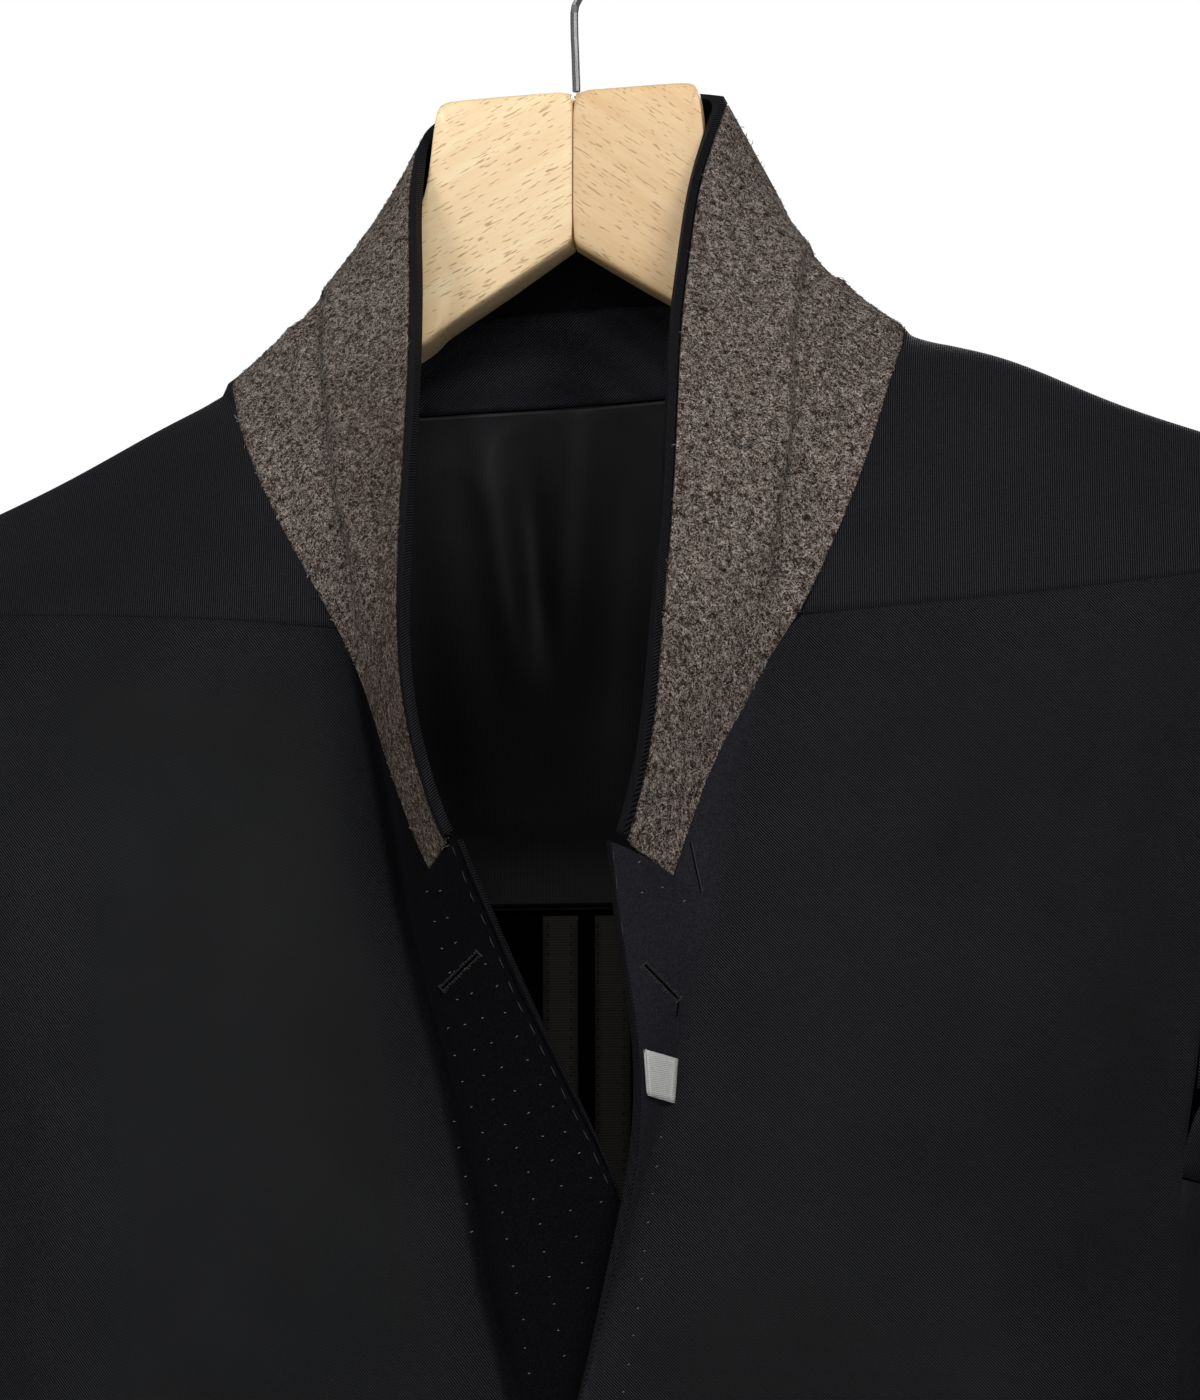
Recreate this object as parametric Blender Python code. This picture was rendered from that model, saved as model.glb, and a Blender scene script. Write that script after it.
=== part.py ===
"""A tailored jacket that hangs on a wooden hanger, with the collar turned up and the lapels unrolled.

Tables are in millimetres: x to the viewer's right, y away from the viewer, z up.
Their level 0 lies HOOK_RISE under the inside top of the hook, which is the part's origin.
"""

import math

import bmesh
import bpy
from mathutils import Vector

MM = 0.001
HOOK_RISE = 14.0
HOOK_BACK = 8.0  # the hook stands over the middle of the hanger's thickness
LEAN = math.tan(math.radians(3.2))  # the hanger has swung, right shoulder up
PLUMB_FROM, PLUMB_OVER = -230.0, 115.0  # below this level the cloth comes back to plumb
SWING, SWING_DEPTH, SWING_BACK = 9.0, 160.0, 50.0  # the fronts have slid this far to the right

CLOTH = 1.6  # wall of the jacket's cloth
FINE = 1.1  # wall of facings, linings and the top collar
APART = 0.3
SEAM = 0.2  # each side of a seam stops this far from it
CENTRE_SEAM = 0.3
YOKE_SEAM = 0.5
LIP = 3.0  # strip of facing that turns over the edge of the lapel and collar
LIP_STEP = 0.6
BEHIND = 0.7  # a facing lies this far behind the cloth
TOP_SHORT = 1.5  # the top collar stops this far above the neck seam
STEPS = 1  # points of the mesh to each row of the tables
SLEEVE_STEPS = 2


def clear_scene():
    for item in list(bpy.data.objects):
        bpy.data.objects.remove(item, do_unlink=True)


def material(name, colour, roughness, metallic=0.0):
    made = bpy.data.materials.new(name)
    made.use_nodes = True
    shader = made.node_tree.nodes["Principled BSDF"]
    shader.inputs["Base Color"].default_value = (*colour, 1.0)
    shader.inputs["Roughness"].default_value = roughness
    shader.inputs["Metallic"].default_value = metallic
    return made


def hung(point):
    """Where a point of the straight pattern lies once the hanger has swung."""
    x, y, z = point
    down = min(1.0, max(0.0, (PLUMB_FROM - z) / PLUMB_OVER))
    lean = LEAN * (1 - down * down * (3 - 2 * down))
    return Vector((x + swing_of(y, z), y - HOOK_BACK, z + x * lean - HOOK_RISE))


def swing_of(y, z):
    """How far the cloth in front has slid to the right at this depth and level."""
    ahead = min(1.0, max(0.0, (SWING_BACK - y) / SWING_BACK))
    return SWING * ahead * min(1.0, max(0.0, -z / SWING_DEPTH))


def spline(points, steps=STEPS):
    """Points on a smooth curve through the given points, with some steps to each stretch."""
    points = [Vector(p) for p in points]
    counts = [steps] * (len(points) - 1) if isinstance(steps, int) else steps
    ends = [2 * points[0] - points[1], *points, 2 * points[-1] - points[-2]]
    found = []
    for i, count in enumerate(counts):
        a, b, c, d = ends[i : i + 4]
        t1 = max((b - a).length, 1e-6) ** 0.5
        t2 = t1 + max((c - b).length, 1e-6) ** 0.5
        t3 = t2 + max((d - c).length, 1e-6) ** 0.5
        for k in range(count):
            t = t1 + (t2 - t1) * k / count
            ab = a.lerp(b, t / t1)
            bc = b.lerp(c, (t - t1) / (t2 - t1))
            cd = c.lerp(d, (t - t2) / (t3 - t2))
            early, late = ab.lerp(bc, t / t2), bc.lerp(cd, (t - t1) / (t3 - t1))
            found.append(early.lerp(late, (t - t1) / (t2 - t1)))
    found.append(points[-1])
    return found


def columns_of(rows):
    return [list(column) for column in zip(*rows)]


def smooth_grid(rows, across, down=STEPS):
    """A grid of points: each row is smoothed across, then each column down."""
    rows = [spline(row, across) for row in rows]
    return columns_of([spline(column, down) for column in columns_of(rows)])


def from_end(row, distance):
    """The point of a row that lies this far from its last point."""
    left = distance
    for a, b in zip(row[::-1], row[-2::-1]):
        stretch = (b - a).length
        if left <= stretch:
            return a.lerp(b, left / stretch)
        left -= stretch
    return row[0].copy()


def drawn_in(grid, first=SEAM, last=SEAM, top=SEAM, bottom=SEAM):
    """The grid with its four edges drawn in from the seams."""
    grid = [[p.copy() for p in row] for row in grid]
    for row in grid:
        row[0] += (row[1] - row[0]).normalized() * first
        row[-1] += (row[-2] - row[-1]).normalized() * last
    for j in range(len(grid[0])):
        grid[0][j] += (grid[1][j] - grid[0][j]).normalized() * top
        grid[-1][j] += (grid[-2][j] - grid[-1][j]).normalized() * bottom
    return grid


def normals_of(grid, out):
    """The outward direction at each point; out is 1 or -1."""
    rows, cols = len(grid), len(grid[0])
    found = []
    for i in range(rows):
        line = []
        for j in range(cols):
            across = grid[i][min(j + 1, cols - 1)] - grid[i][max(j - 1, 0)]
            down = grid[min(i + 1, rows - 1)][j] - grid[max(i - 1, 0)][j]
            line.append(across.cross(down).normalized() * out)
        found.append(line)
    return found


def make_object(name, points, faces, finish, smooth=True):
    mesh = bpy.data.meshes.new(name)
    mesh.from_pydata([tuple(p * MM) for p in points], [], faces)
    mesh.update()
    shape = bmesh.new()
    shape.from_mesh(mesh)
    bmesh.ops.recalc_face_normals(shape, faces=shape.faces)
    shape.to_mesh(mesh)
    shape.free()
    item = bpy.data.objects.new(name, mesh)
    bpy.context.scene.collection.objects.link(item)
    mesh.materials.append(finish)
    if smooth:
        mesh.shade_smooth()
        mesh.set_sharp_from_angle(angle=math.radians(40))
    return item


def wall(name, grid, out, finish, thick, lift=0.0):
    """A closed wall under a grid that is first moved out by the lift."""
    outward = normals_of(grid, out)
    top = [[p + n * lift for p, n in zip(row, away)] for row, away in zip(grid, outward)]
    return walled(name, top, outward, thick, finish)


def walled(name, grid, outward, thick, finish):
    """A closed wall between a grid and the same grid moved in along the outward directions."""
    inner = [[p - n * thick for p, n in zip(row, away)] for row, away in zip(grid, outward)]
    return closed_wall(name, grid, inner, finish)


def closed_wall(name, outer, inner, finish):
    """One closed body from its outer and inner grids."""
    rows, cols = len(outer), len(outer[0])
    points = [p for grid in (outer, inner) for row in grid for p in row]
    faces = []
    half = rows * cols
    for i in range(rows - 1):
        for j in range(cols - 1):
            a = i * cols + j
            b, c, d = a + 1, a + cols + 1, a + cols
            faces.append((a, b, c, d))
            faces.append((half + a, half + d, half + c, half + b))
    rim = [j for j in range(cols)]
    rim += [i * cols + cols - 1 for i in range(1, rows)]
    rim += [(rows - 1) * cols + j for j in range(cols - 2, -1, -1)]
    rim += [i * cols for i in range(rows - 2, 0, -1)]
    for a, b in zip(rim, rim[1:] + rim[:1]):
        faces.append((b, a, half + a, half + b))
    return make_object(name, points, faces, finish)


def hang_grid(grid):
    return [[hung(p) for p in row] for row in grid]


# Neck seam and free edge of the collar, from the end of the left lapel round the back to the right.
# Columns: neck seam x y z, free edge x y z.
COLLAR_LEFT = (
    ((-40.7, -104, -346.3), (-33.4, -124, -337.1)),
    ((-47.0, -99.5, -333.5), (-37.0, -124, -330)),
    ((-54.0, -95, -315), (-43.0, -123.2, -311)),
    ((-60.0, -91, -298), (-47.0, -121, -292)),
    ((-67.0, -85.5, -275), (-49.0, -117.5, -272)),
    ((-75.0, -79, -259), (-49.2, -113, -257)),
    ((-88.4, -70, -233.6), (-49.4, -104, -233)),
    ((-98.0, -62, -216.5), (-49.4, -95, -213)),
    ((-106.3, -52, -198.9), (-49.4, -84, -190)),
    ((-113.7, -38, -182.2), (-50.4, -70, -166.5)),
    ((-118.0, -22, -170), (-52.0, -45, -135)),
    ((-119.0, -8, -159), (-54.5, -23, -108)),
    ((-108.0, 8, -152), (-54.7, -6, -88)),
    ((-88.0, 26, -144), (-54.2, 10, -73)),
    ((-60.0, 38, -137), (-42.0, 27, -63)),
)
COLLAR_BACK = ((0.0, 46, -130), (-2.0, 38, -58))
COLLAR_RIGHT = (
    ((37.1, -104, -349.5), (22.9, -124, -337.6)),
    ((44.0, -98, -326), (26.3, -124, -328)),
    ((50.0, -93, -309), (29.5, -123.3, -314)),
    ((59.0, -88, -293), (31.6, -121, -296)),
    ((68.5, -83, -273.5), (32.4, -117, -275)),
    ((76.4, -78.0, -264), (33.0, -112, -258)),
    ((89.0, -66, -233), (33.7, -102, -235)),
    ((95.0, -57, -215), (33.9, -92, -214)),
    ((99.5, -46, -197), (33.6, -80, -190)),
    ((103.6, -30, -177), (33.1, -62, -159)),
    ((105.5, -20, -168), (35.5, -40, -133)),
    ((107.0, -8, -160.5), (38.2, -20, -106)),
    ((99.0, 8, -152), (44.0, -9, -87)),
    ((84.0, 26, -144), (50.0, 9, -70)),
    ((58.0, 38, -137), (38.0, 27, -63)),
)
YOKE_STATION = 5  # the collar's row where the forward yoke seam meets it
# How far the yoke seam sits from the even line on each side. Columns: breast y z, chest y z, armhole y z.
YOKE_SHIFT = {
    -1: ((3.6, 6.6), (5.0, 9.0), (5.2, 9.6)),
    1: ((-1.2, -4.2), (-1.6, -5.0), (-1.6, -6.0)),
}

# Body sections below the arm. Columns: level, half width, centre y, front depth, back depth.
BODY = (
    (-430, 214, -18, 92, 92),
    (-515, 209, -20, 93, 90),
    (-600, 204, -24, 91, 88),
    (-700, 210, -24, 93, 92),
    (-800, 217, -22, 95, 96),
    (-900, 222, -20, 96, 100),
)
SQUARE = 2.6  # how square a section is: 2 is an ellipse
FRONT_SEAM_Y, BACK_SEAM_Y = -68.0, 38.0
HEM = -900.0

# Front from under the yoke seam to the arm. Columns: level, armhole x y, chest x y, breast x y.
FRONT_ROWS = (
    (-275, 208, -58, 164, -74.0, 117, -80.5),
    (-298, 207, -62, 162, -79.0, 114, -86.0),
    (-315, 206, -64, 160, -82.0, 112, -89.0),
    (-333, 206, -65, 159, -84.5, 110, -92.0),
    (-348, 206, -65.5, 159, -86.0, 109, -94.0),
    (-355, 206, -66, 159, -86.5, 108, -95.0),
    (-363, 206, -66, 159, -87.0, 108, -96.0),
    (-372, 205.5, -66, 159, -88.0, 107, -97.0),
    (-386, 204.5, -66, 159, -89.0, 106, -98.5),
    (-411, 201.5, -66.5, 158, -91.0, 105, -101.0),
)
LOWER_LEVELS = (-443, -476, -515, -560, -590, -640, -690, -745, -830, -870, -893, -900)
FRONT_COLUMNS, BACK_COLUMNS = (158, 112), (0, 70, 148)  # x of the points across, under the arm
FLAP_TOP, FLAP_FIRST, FLAP_LAST = 6, 1, 8  # the flap covers these rows and columns of a front

# From the roll line to the edge of each front. Columns: roll line x y z, bend x y z, edge x y z.
# The first rows end on the neck seam, so they hold no edge.
LAPEL_LEFT = (
    ((-79.5, -78.8, -259.5), (-77.3, -78.9, -259.3), None),
    ((-69.5, -84.5, -275), (-68.2, -85.0, -275), None),
    ((-63.0, -88.5, -298), (-61.5, -89.8, -298), None),
    ((-59.0, -91.0, -315), (-56.5, -93.0, -315), None),
    ((-53.5, -94.0, -333), (-50.2, -96.8, -333.5), None),
    ((-50.5, -96.0, -349), (-45.5, -100.0, -349), None),
    ((-49.2, -97.0, -355), (-41.0, -105.0, -354), (-36.6, -114, -341.6)),
    ((-47.5, -97.8, -362), (-36.0, -109.5, -360), (-29.2, -124, -336.2)),
    ((-45.3, -98.8, -371), (-32.5, -111.0, -368), (-22.3, -123, -351.5)),
    ((-42.0, -100.4, -385), (-27.0, -112.0, -383), (-12.0, -121.4, -374.0)),
    ((-35.4, -104.0, -410), (-16.5, -113.5, -410), (4.0, -119.2, -408.0)),
    ((-27.5, -107.6, -442), (-3.5, -113.2, -442), (21.8, -115.6, -442.0)),
    ((-20.9, -110.3, -476), (5.0, -113.0, -476), (31.0, -114.0, -474.0)),
    ((-9.8, -112.4, -515), (12.0, -113.8, -515), (32.5, -114.2, -513.0)),
    ((0.0, -114.5, -560), (13.0, -115.0, -560), (26.0, -115.4, -560.0)),
    ((2.0, -114.8, -590), (11.0, -115.4, -590), (20.0, -115.6, -590.0)),
    ((0.0, -115.6, -640), (10.0, -116.4, -640), (19.0, -116.6, -640.0)),
    ((-2.0, -116.4, -690), (9.0, -117.2, -690), (18.0, -117.4, -690.0)),
    ((-6.0, -116.8, -745), (6.0, -117.4, -745), (16.5, -117.8, -745.0)),
    ((-18.0, -117.2, -830), (-6.0, -118.0, -830), (4.0, -118.6, -830.0)),
    ((-36.0, -116.4, -870), (-25.0, -117.0, -870), (-14.0, -117.6, -868.0)),
    ((-58.0, -115.4, -893), (-49.0, -115.8, -892), (-38.0, -116.4, -889.0)),
    ((-84.0, -113.4, -900), (-76.0, -114.2, -899.6), (-68.0, -114.8, -899.0)),
)
LAPEL_RIGHT = (
    ((80.4, -77.6, -264), (78.2, -77.8, -264), None),
    ((72.5, -82.2, -274), (70.5, -82.7, -274), None),
    ((65.0, -86.6, -294), (62.0, -87.6, -293.5), None),
    ((59.5, -90.0, -312), (55.0, -91.8, -311), None),
    ((56.5, -94.0, -331), (50.0, -96.4, -330), None),
    ((52.5, -99.0, -353), (44.5, -102.0, -352.5), None),
    ((50.8, -99.8, -359), (41.0, -104.4, -357), (30.0, -114, -343.3)),
    ((49.2, -101.8, -365), (36.5, -111.0, -363), (17.8, -124, -336.9)),
    ((47.0, -103.8, -374), (35.5, -113.8, -372), (19.9, -126, -358.7)),
    ((44.0, -106.6, -389), (34.5, -117.0, -388), (23.8, -127, -386.0)),
    ((40.0, -110.5, -411), (34.0, -119.5, -411), (27.8, -127.2, -411.0)),
    ((30.5, -117.0, -443), (29.2, -122.4, -443), (27.4, -127.2, -443.0)),
    ((22.0, -121.6, -476), (20.4, -124.6, -476), (18.3, -126.8, -476.0)),
    ((15.0, -123.4, -515), (11.8, -125.2, -515), (7.7, -126.4, -515.4)),
    ((6.0, -124.4, -560), (1.0, -125.6, -560), (-6.0, -126.2, -560.0)),
    ((2.0, -124.8, -590), (-7.0, -125.8, -590), (-17.0, -126.2, -590.0)),
    ((0.0, -125.6, -640), (-9.0, -126.4, -640), (-18.5, -126.8, -640.0)),
    ((0.0, -126.4, -690), (-9.0, -127.2, -690), (-18.2, -127.6, -690.0)),
    ((2.0, -126.6, -745), (-7.0, -127.2, -745), (-16.5, -127.6, -745.0)),
    ((15.0, -125.0, -830), (5.0, -126.0, -830), (-4.0, -126.4, -830.0)),
    ((36.0, -122.6, -870), (25.0, -123.4, -870), (14.0, -124.0, -868.0)),
    ((58.0, -119.8, -893), (49.0, -120.6, -892), (38.0, -121.4, -889.0)),
    ((84.0, -117.0, -900), (76.0, -117.8, -899.6), (68.0, -118.6, -899.0)),
)
LIP_ROW = 7  # the lapel's point: from here down the facing turns over the edge

# Back from the yoke seam over the shoulder to the arm. Each row starts on the neck seam or centre back.
# Columns: near x y z, blade x y z, armhole x y z.
OVER_SHOULDER = (
    ((120, -74.5, -258), (165, -67.5, -254.5), (209, -53, -249)),
    ((124, -64, -236), (168, -57, -236), (213, -43, -233)),
    ((128, -53, -215), (172, -45, -220), (217, -32, -220)),
    ((131, -39, -195), (175, -34, -207), (220, -24, -213)),
    ((134, -25, -178), (177, -25, -197), (221.5, -18, -210)),
    ((136, -15, -171), (178, -18, -192), (222, -14.5, -209)),
    ((137, -6, -169.5), (178, -10, -190.5), (222, -11, -209)),
    ((134, 8, -171), (177, 2, -192), (221, -2, -210)),
    ((124, 25, -176), (173, 18, -198), (218, 12, -216)),
    ((104, 39, -178), (165, 34, -210), (213, 30, -231)),
    ((72, 51, -178), (150, 47, -226), (207, 44, -256)),
)
CENTRE_ROWS = (
    ((0, 55, -165), (70, 57, -205), (145, 54, -260), (203, 51, -290)),
    ((0, 61, -205), (70, 62, -245), (143, 59, -300), (201, 54, -325)),
    ((0, 66, -250), (70, 67, -285), (143, 63, -335), (198.5, 53, -360)),
    ((0, 70, -305), (70, 70, -330), (145, 66, -370), (194.5, 47, -393)),
    ((0, 72.5, -365), (70, 72, -380), (148, 67, -402), (190.5, 41, -420)),
)


def body_at(level):
    """Half width, centre, front depth and back depth of the body at a level."""
    rows = [Vector((row[0], row[1], row[2])) for row in BODY]
    depths = [Vector((row[0], row[3], row[4])) for row in BODY]
    for (a, b), (c, d) in zip(zip(rows, rows[1:]), zip(depths, depths[1:])):
        if level >= b.x or b is rows[-1]:
            t = min(1.0, max(0.0, (level - a.x) / (b.x - a.x)))
            t = t * t * (3 - 2 * t)
            side, deep = a.lerp(b, t), c.lerp(d, t)
            return side.y, side.z, deep.y, deep.z


def body_y(x, level, front=True):
    half, centre, ahead, behind = body_at(level)
    part = max(0.0, 1 - (abs(x) / half) ** SQUARE) ** (1 / SQUARE)
    return centre - ahead * part if front else centre + behind * part


def body_x(y, level):
    half, centre, ahead, behind = body_at(level)
    depth = ahead if y < centre else behind
    return half * max(0.0, 1 - (abs(y - centre) / depth) ** SQUARE) ** (1 / SQUARE)


# Sleeve rings. Columns: crown x z, underarm x z, middle y, half depth.
SLEEVE = (
    (235, -211.5, 218.5, -453, -12, 66),
    (249, -221, 220.5, -460, -12, 68),
    (262, -241, 221.5, -469, -12, 69),
    (272, -275, 222, -483, -12, 69),
    (281, -322, 222, -503, -12, 68),
    (289, -380, 221.5, -527, -13, 67),
    (295, -440, 221, -557, -14, 65),
    (298, -510, 220.5, -593, -18, 62),
    (299, -580, 221, -638, -24, 59),
    (298, -650, 223, -691, -32, 55),
    (296, -730, 226, -751, -42, 52),
    (293, -812, 229, -812, -50, 50),
)
# Creases at the elbow. Columns: level, slope, height, spread.
SLEEVE_CREASES = (
    (-505, 0.9, 3.0, 9),
    (-538, 0.7, -3.4, 9),
    (-566, 0.8, 3.2, 8),
    (-598, 0.5, -2.6, 10),
    (-640, -0.4, 2.2, 11),
    (-716, -0.6, 2.0, 12),
)
SLEEVE_MIDDLE = 260.0
ROUND = 20  # points round a sleeve
SEAM_AT = 7  # the sleeve seams lie this many points from the crown, front and back
RIDGE_ROW = 5  # the row of the shoulder's ridge in OVER_SHOULDER
ARMHOLE_GAP = 0.7
SIDE_ACROSS = 6
UNDERARM_DIP = 4.0

FACING_COLUMNS = 8  # a facing lies behind this many columns of its front

# Inside the back. Columns: level at the centre, drop at the sides, left x, right x, stand off the cloth.
SIDE_OFF = 0.5
BACK_FACING = (
    (-132.6, 12.0, -76, 72, 0.5),
    (-141.0, 9.0, -80, 77, 0.5),
    (-149.0, 6.0, -84, 81, 0.5),
    (-157.0, 3.0, -88, 85, 0.5),
    (-165.0, 0.5, -92, 89, 0.5),
)
LINING = (
    (-165.6, 0.5, -92, 89, 0.6),
    (-176.0, 2.0, -100, 100, 0.7),
    (-192.0, 4.0, -114, 114, 1.2),
    (-212.0, 4.0, -132, 132, 2.2),
    (-236.0, 2.0, -146, 146, 3.0),
    (-264.0, 0.0, -152, 152, 2.6),
    (-296.0, 0.0, -154, 154, 1.6),
    (-326.0, 0.0, -156, 156, 1.5),
    (-345.0, 0.0, -156, 156, 2.4),
)
TAPES = (("left", -15.0, -3.0), ("right", 3.0, 15.0))
TAPE_LEVELS = (-340, -365, -443, -476, -515, -560, -590, -640, -690, -745, -830, -870, -893)
TAPE_THICK, TAPE_OFF = 0.8, 0.3

# The pale tab on the right lapel: two corners of each row, x and level.
TAB = (((29.8, -406.1), (38.4, -407.6)), ((30.1, -413.4), (37.9, -414.8)), ((30.4, -420.2), (37.4, -421.6)))
TAB_THICK = 0.7

FLAP_OFF = 0.5
FRONT_BUTTON_X, FRONT_BUTTONS = -1.0, (-598, -702)
FRONT_BUTTON, CUFF_BUTTON = 20.0, 15.0
# A button from the middle of its back to the middle of its face. Columns: radius and height, as parts.
BUTTON_PROFILE = (
    (0.0, 0.0), (0.86, 0.0), (1.0, 0.35), (1.0, 0.7),
    (0.9, 1.0), (0.76, 1.0), (0.66, 0.74), (0.0, 0.7),
)
SLEEVE_BUTTONS, CUFF_BUTTON_FIRST, CUFF_BUTTON_PITCH, BUTTON_COLUMN = 4, 36.0, 17.0, 1
BUTTON_ROUND, BUTTON_THICK, BUTTON_REACH, BUTTON_OFF = 12, 3.2, 8.0, 0.6

# Hanger. Columns: x, top, bottom, front y, back y at the top, back y at the bottom.
WING = (
    (0.15, -65, -119.5, 0, 17, 17),
    (12, -65, -127.5, 0, 17, 18.5),
    (24, -65, -135.5, 0, 17, 20),
    (36, -65, -143, 0, 16.5, 21),
    (41, -65.6, -146, 0, 15.5, 22),
    (42.8, -68, -148, 0, 14.0, 22.5),
    (44, -75, -149, 0, 13.0, 23),
    (46, -97, -150.5, 0, 13.5, 24),
    (51, -105, -153, 0, 14, 25),
    (56, -112, -156, 0, 15, 25),
    (64, -126, -161, -2, 15, 26),
    (78, -148, -172, -6, 16, 22),
    (95, -160.8, -182, -10, 15, 18),
    (115, -168.7, -189, -14, 12, 14),
    (140, -177.4, -200, -18, 8, 8),
    (170, -190.9, -215, -20, 2, 2),
    (198, -204.4, -229, -21, -4, -4),
    (210, -212, -234, -19, -7, -7),
)
WIDER = {-1: 3.7, 1: 0.0}  # the left shoulder of the block stands further out
WIDER_FULL, WIDER_GONE, WIDER_FADE = 41.0, 115.0, 50.0
WING_ROUND = 2.2
BLOCK_END, BLOCK_SHIFT = 55.0, 2.5  # the hanger's block doesn't slide with the cloth

# Hook, in the part's own frame: the origin is its inside top.
ROD = 2.7
HOOK_INSIDE = 18.6
HOOK_STEM = ((3.0, -78.6), (2.6, -66), (2.2, -54), (2.6, -48.5), (5.2, -44.2), (9.6, -39.6))
HOOK_FROM, HOOK_TO, HOOK_POINTS = -48.0, 208.0, 20

# Hanging folds. Columns: x, y side (-1 front, 1 back), half width, top level, deepest level, height.
FOLDS = (
    (148, -1, 15, -300, -480, 3.4),
    (104, -1, 17, -330, -620, -2.6),
    (60, -1, 16, -400, -690, 1.8),
    (-150, -1, 16, -310, -520, 3.0),
    (-112, -1, 17, -360, -660, -2.4),
    (-66, -1, 15, -420, -720, 1.6),
    (160, 1, 15, -300, -450, 4.6),
    (122, 1, 16, -320, -560, -3.2),
    (62, 1, 22, -420, -700, 2.6),
    (-158, 1, 15, -290, -470, 4.2),
    (-118, 1, 17, -340, -600, -3.4),
    (-58, 1, 20, -400, -740, 2.4),
)


def fold_of(x, level, side):
    """How far the hanging folds push the cloth out at this place."""
    total = 0.0
    for place, fold_side, width, top, deep, height in FOLDS:
        if fold_side != side or level > top:
            continue
        if level > deep:
            grown = (top - level) / (top - deep)
        else:
            grown = max(0.35, 1 - 0.6 * (deep - level) / (deep - HEM))
        total += height * grown * grown * (3 - 2 * grown) * math.exp(-(((x - place) / width) ** 2))
    return total


def folded(grid, side):
    return [[p + Vector((0, side * fold_of(p.x, p.z, side), 0)) for p in row] for row in grid]


def collar_rows():
    """Rows across the collar, from the neck seam over the crease to the free edge."""
    rows = []
    for seam, edge in (*COLLAR_LEFT, COLLAR_BACK, *reversed(COLLAR_RIGHT)):
        seam, edge = Vector(seam), Vector(edge)
        width = (edge - seam).length
        out = Vector((seam.x * 0.6, seam.y + 20, 0)).normalized()
        stand = max(0.0, min(1.0, (width - 40) / 40))
        low = seam.lerp(edge, 0.22) - out * 2.2 * stand
        crease = seam.lerp(edge, 0.42) + out * 2.6 * stand
        high = seam.lerp(edge, 0.72) + out * 1.4 * stand
        rows.append([seam, low, crease, high, edge])
    return rows


def neck_line():
    return spline([row[0] for row in collar_rows()])


def yoke_seam(side):
    """The yoke seam's points from the breast to the armhole, on one side."""
    return [
        Vector((side * x, y + back, z + up))
        for (x, y, z), (back, up) in zip(OVER_SHOULDER[0], YOKE_SHIFT[side])
    ]


def front_grid(side):
    """One whole front with its lapel, from the side to the edge. Side is -1 left, 1 right."""
    lapel = LAPEL_LEFT if side < 0 else LAPEL_RIGHT
    collar = COLLAR_LEFT if side < 0 else COLLAR_RIGHT
    rows = []
    for i, (roll, bend, edge) in enumerate(lapel):
        if i == 0:
            outer = yoke_seam(side)[::-1]
        elif i <= len(FRONT_ROWS):
            level, ax, ay, cx, cy, bx, by = FRONT_ROWS[i - 1]
            outer = [Vector((side * x, y, level)) for x, y in ((ax, ay), (cx, cy), (bx, by))]
        else:
            level = LOWER_LEVELS[i - len(FRONT_ROWS) - 1]
            outer = [
                Vector((side * body_x(FRONT_SEAM_Y, level), FRONT_SEAM_Y, level)),
                *[Vector((side * x, body_y(x, level), level)) for x in FRONT_COLUMNS],
            ]
        if edge is None:
            edge = collar[YOKE_STATION - i][0]
        rows.append([*outer, Vector(roll), Vector(bend), Vector(edge)])
    grid = smooth_grid(rows, [3, 3, 4, 2, 2])
    neck = neck_line()
    for i in range(YOKE_STATION * STEPS + 1):
        at = YOKE_STATION * STEPS - i
        grid[i][-1] = (neck[at] if side < 0 else neck[-1 - at]).copy()
    return folded(grid, -1)


def back_grid(side):
    """One back, from the yoke seam at the front over the shoulder and down to the hem."""
    collar = COLLAR_LEFT if side < 0 else COLLAR_RIGHT
    rows = []
    for i, row in enumerate(OVER_SHOULDER):
        seam = Vector((*collar, COLLAR_BACK)[YOKE_STATION + i][0])
        across = yoke_seam(side) if i == 0 else [Vector((side * x, y, z)) for x, y, z in row]
        rows.append([seam, *across])
    for row in CENTRE_ROWS:
        rows.append([Vector((side * x, y, z)) for x, y, z in row])
    for level in LOWER_LEVELS:
        places = [(x, body_y(x, level, False)) for x in BACK_COLUMNS]
        places.append((body_x(BACK_SEAM_Y, level), BACK_SEAM_Y))
        rows.append([Vector((side * x, y, level)) for x, y in places])
    grid = smooth_grid(rows, [3, 3, 3])
    neck = neck_line()
    for i in range(len(OVER_SHOULDER) * STEPS - 1):
        at = YOKE_STATION * STEPS + i
        grid[i][0] = (neck[at] if side < 0 else neck[-1 - at]).copy()
    return grid


def side_grid(side, front, back):
    """The panel under the arm, from the front's side seam to the back's."""
    grid = []
    below = len(LOWER_LEVELS) * STEPS
    for i in range(below):
        ahead, behind = front[i - below][0], back[i - below][-1]
        first = body_x(ahead.y, ahead.z) - abs(ahead.x)
        last = body_x(behind.y, behind.z) - abs(behind.x)
        row = []
        for k in range(SIDE_ACROSS + 1):
            t = k / SIDE_ACROSS
            flat = ahead.lerp(behind, t)
            bulge = body_x(flat.y, flat.z) - abs(flat.x)
            ends = first * (1 - t) + last * t
            dip = UNDERARM_DIP * math.sin(math.pi * t) if i == 0 else 0.0
            row.append(flat + Vector((side * (bulge - ends), 0, -dip)))
        grid.append(row)
    return grid


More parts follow.
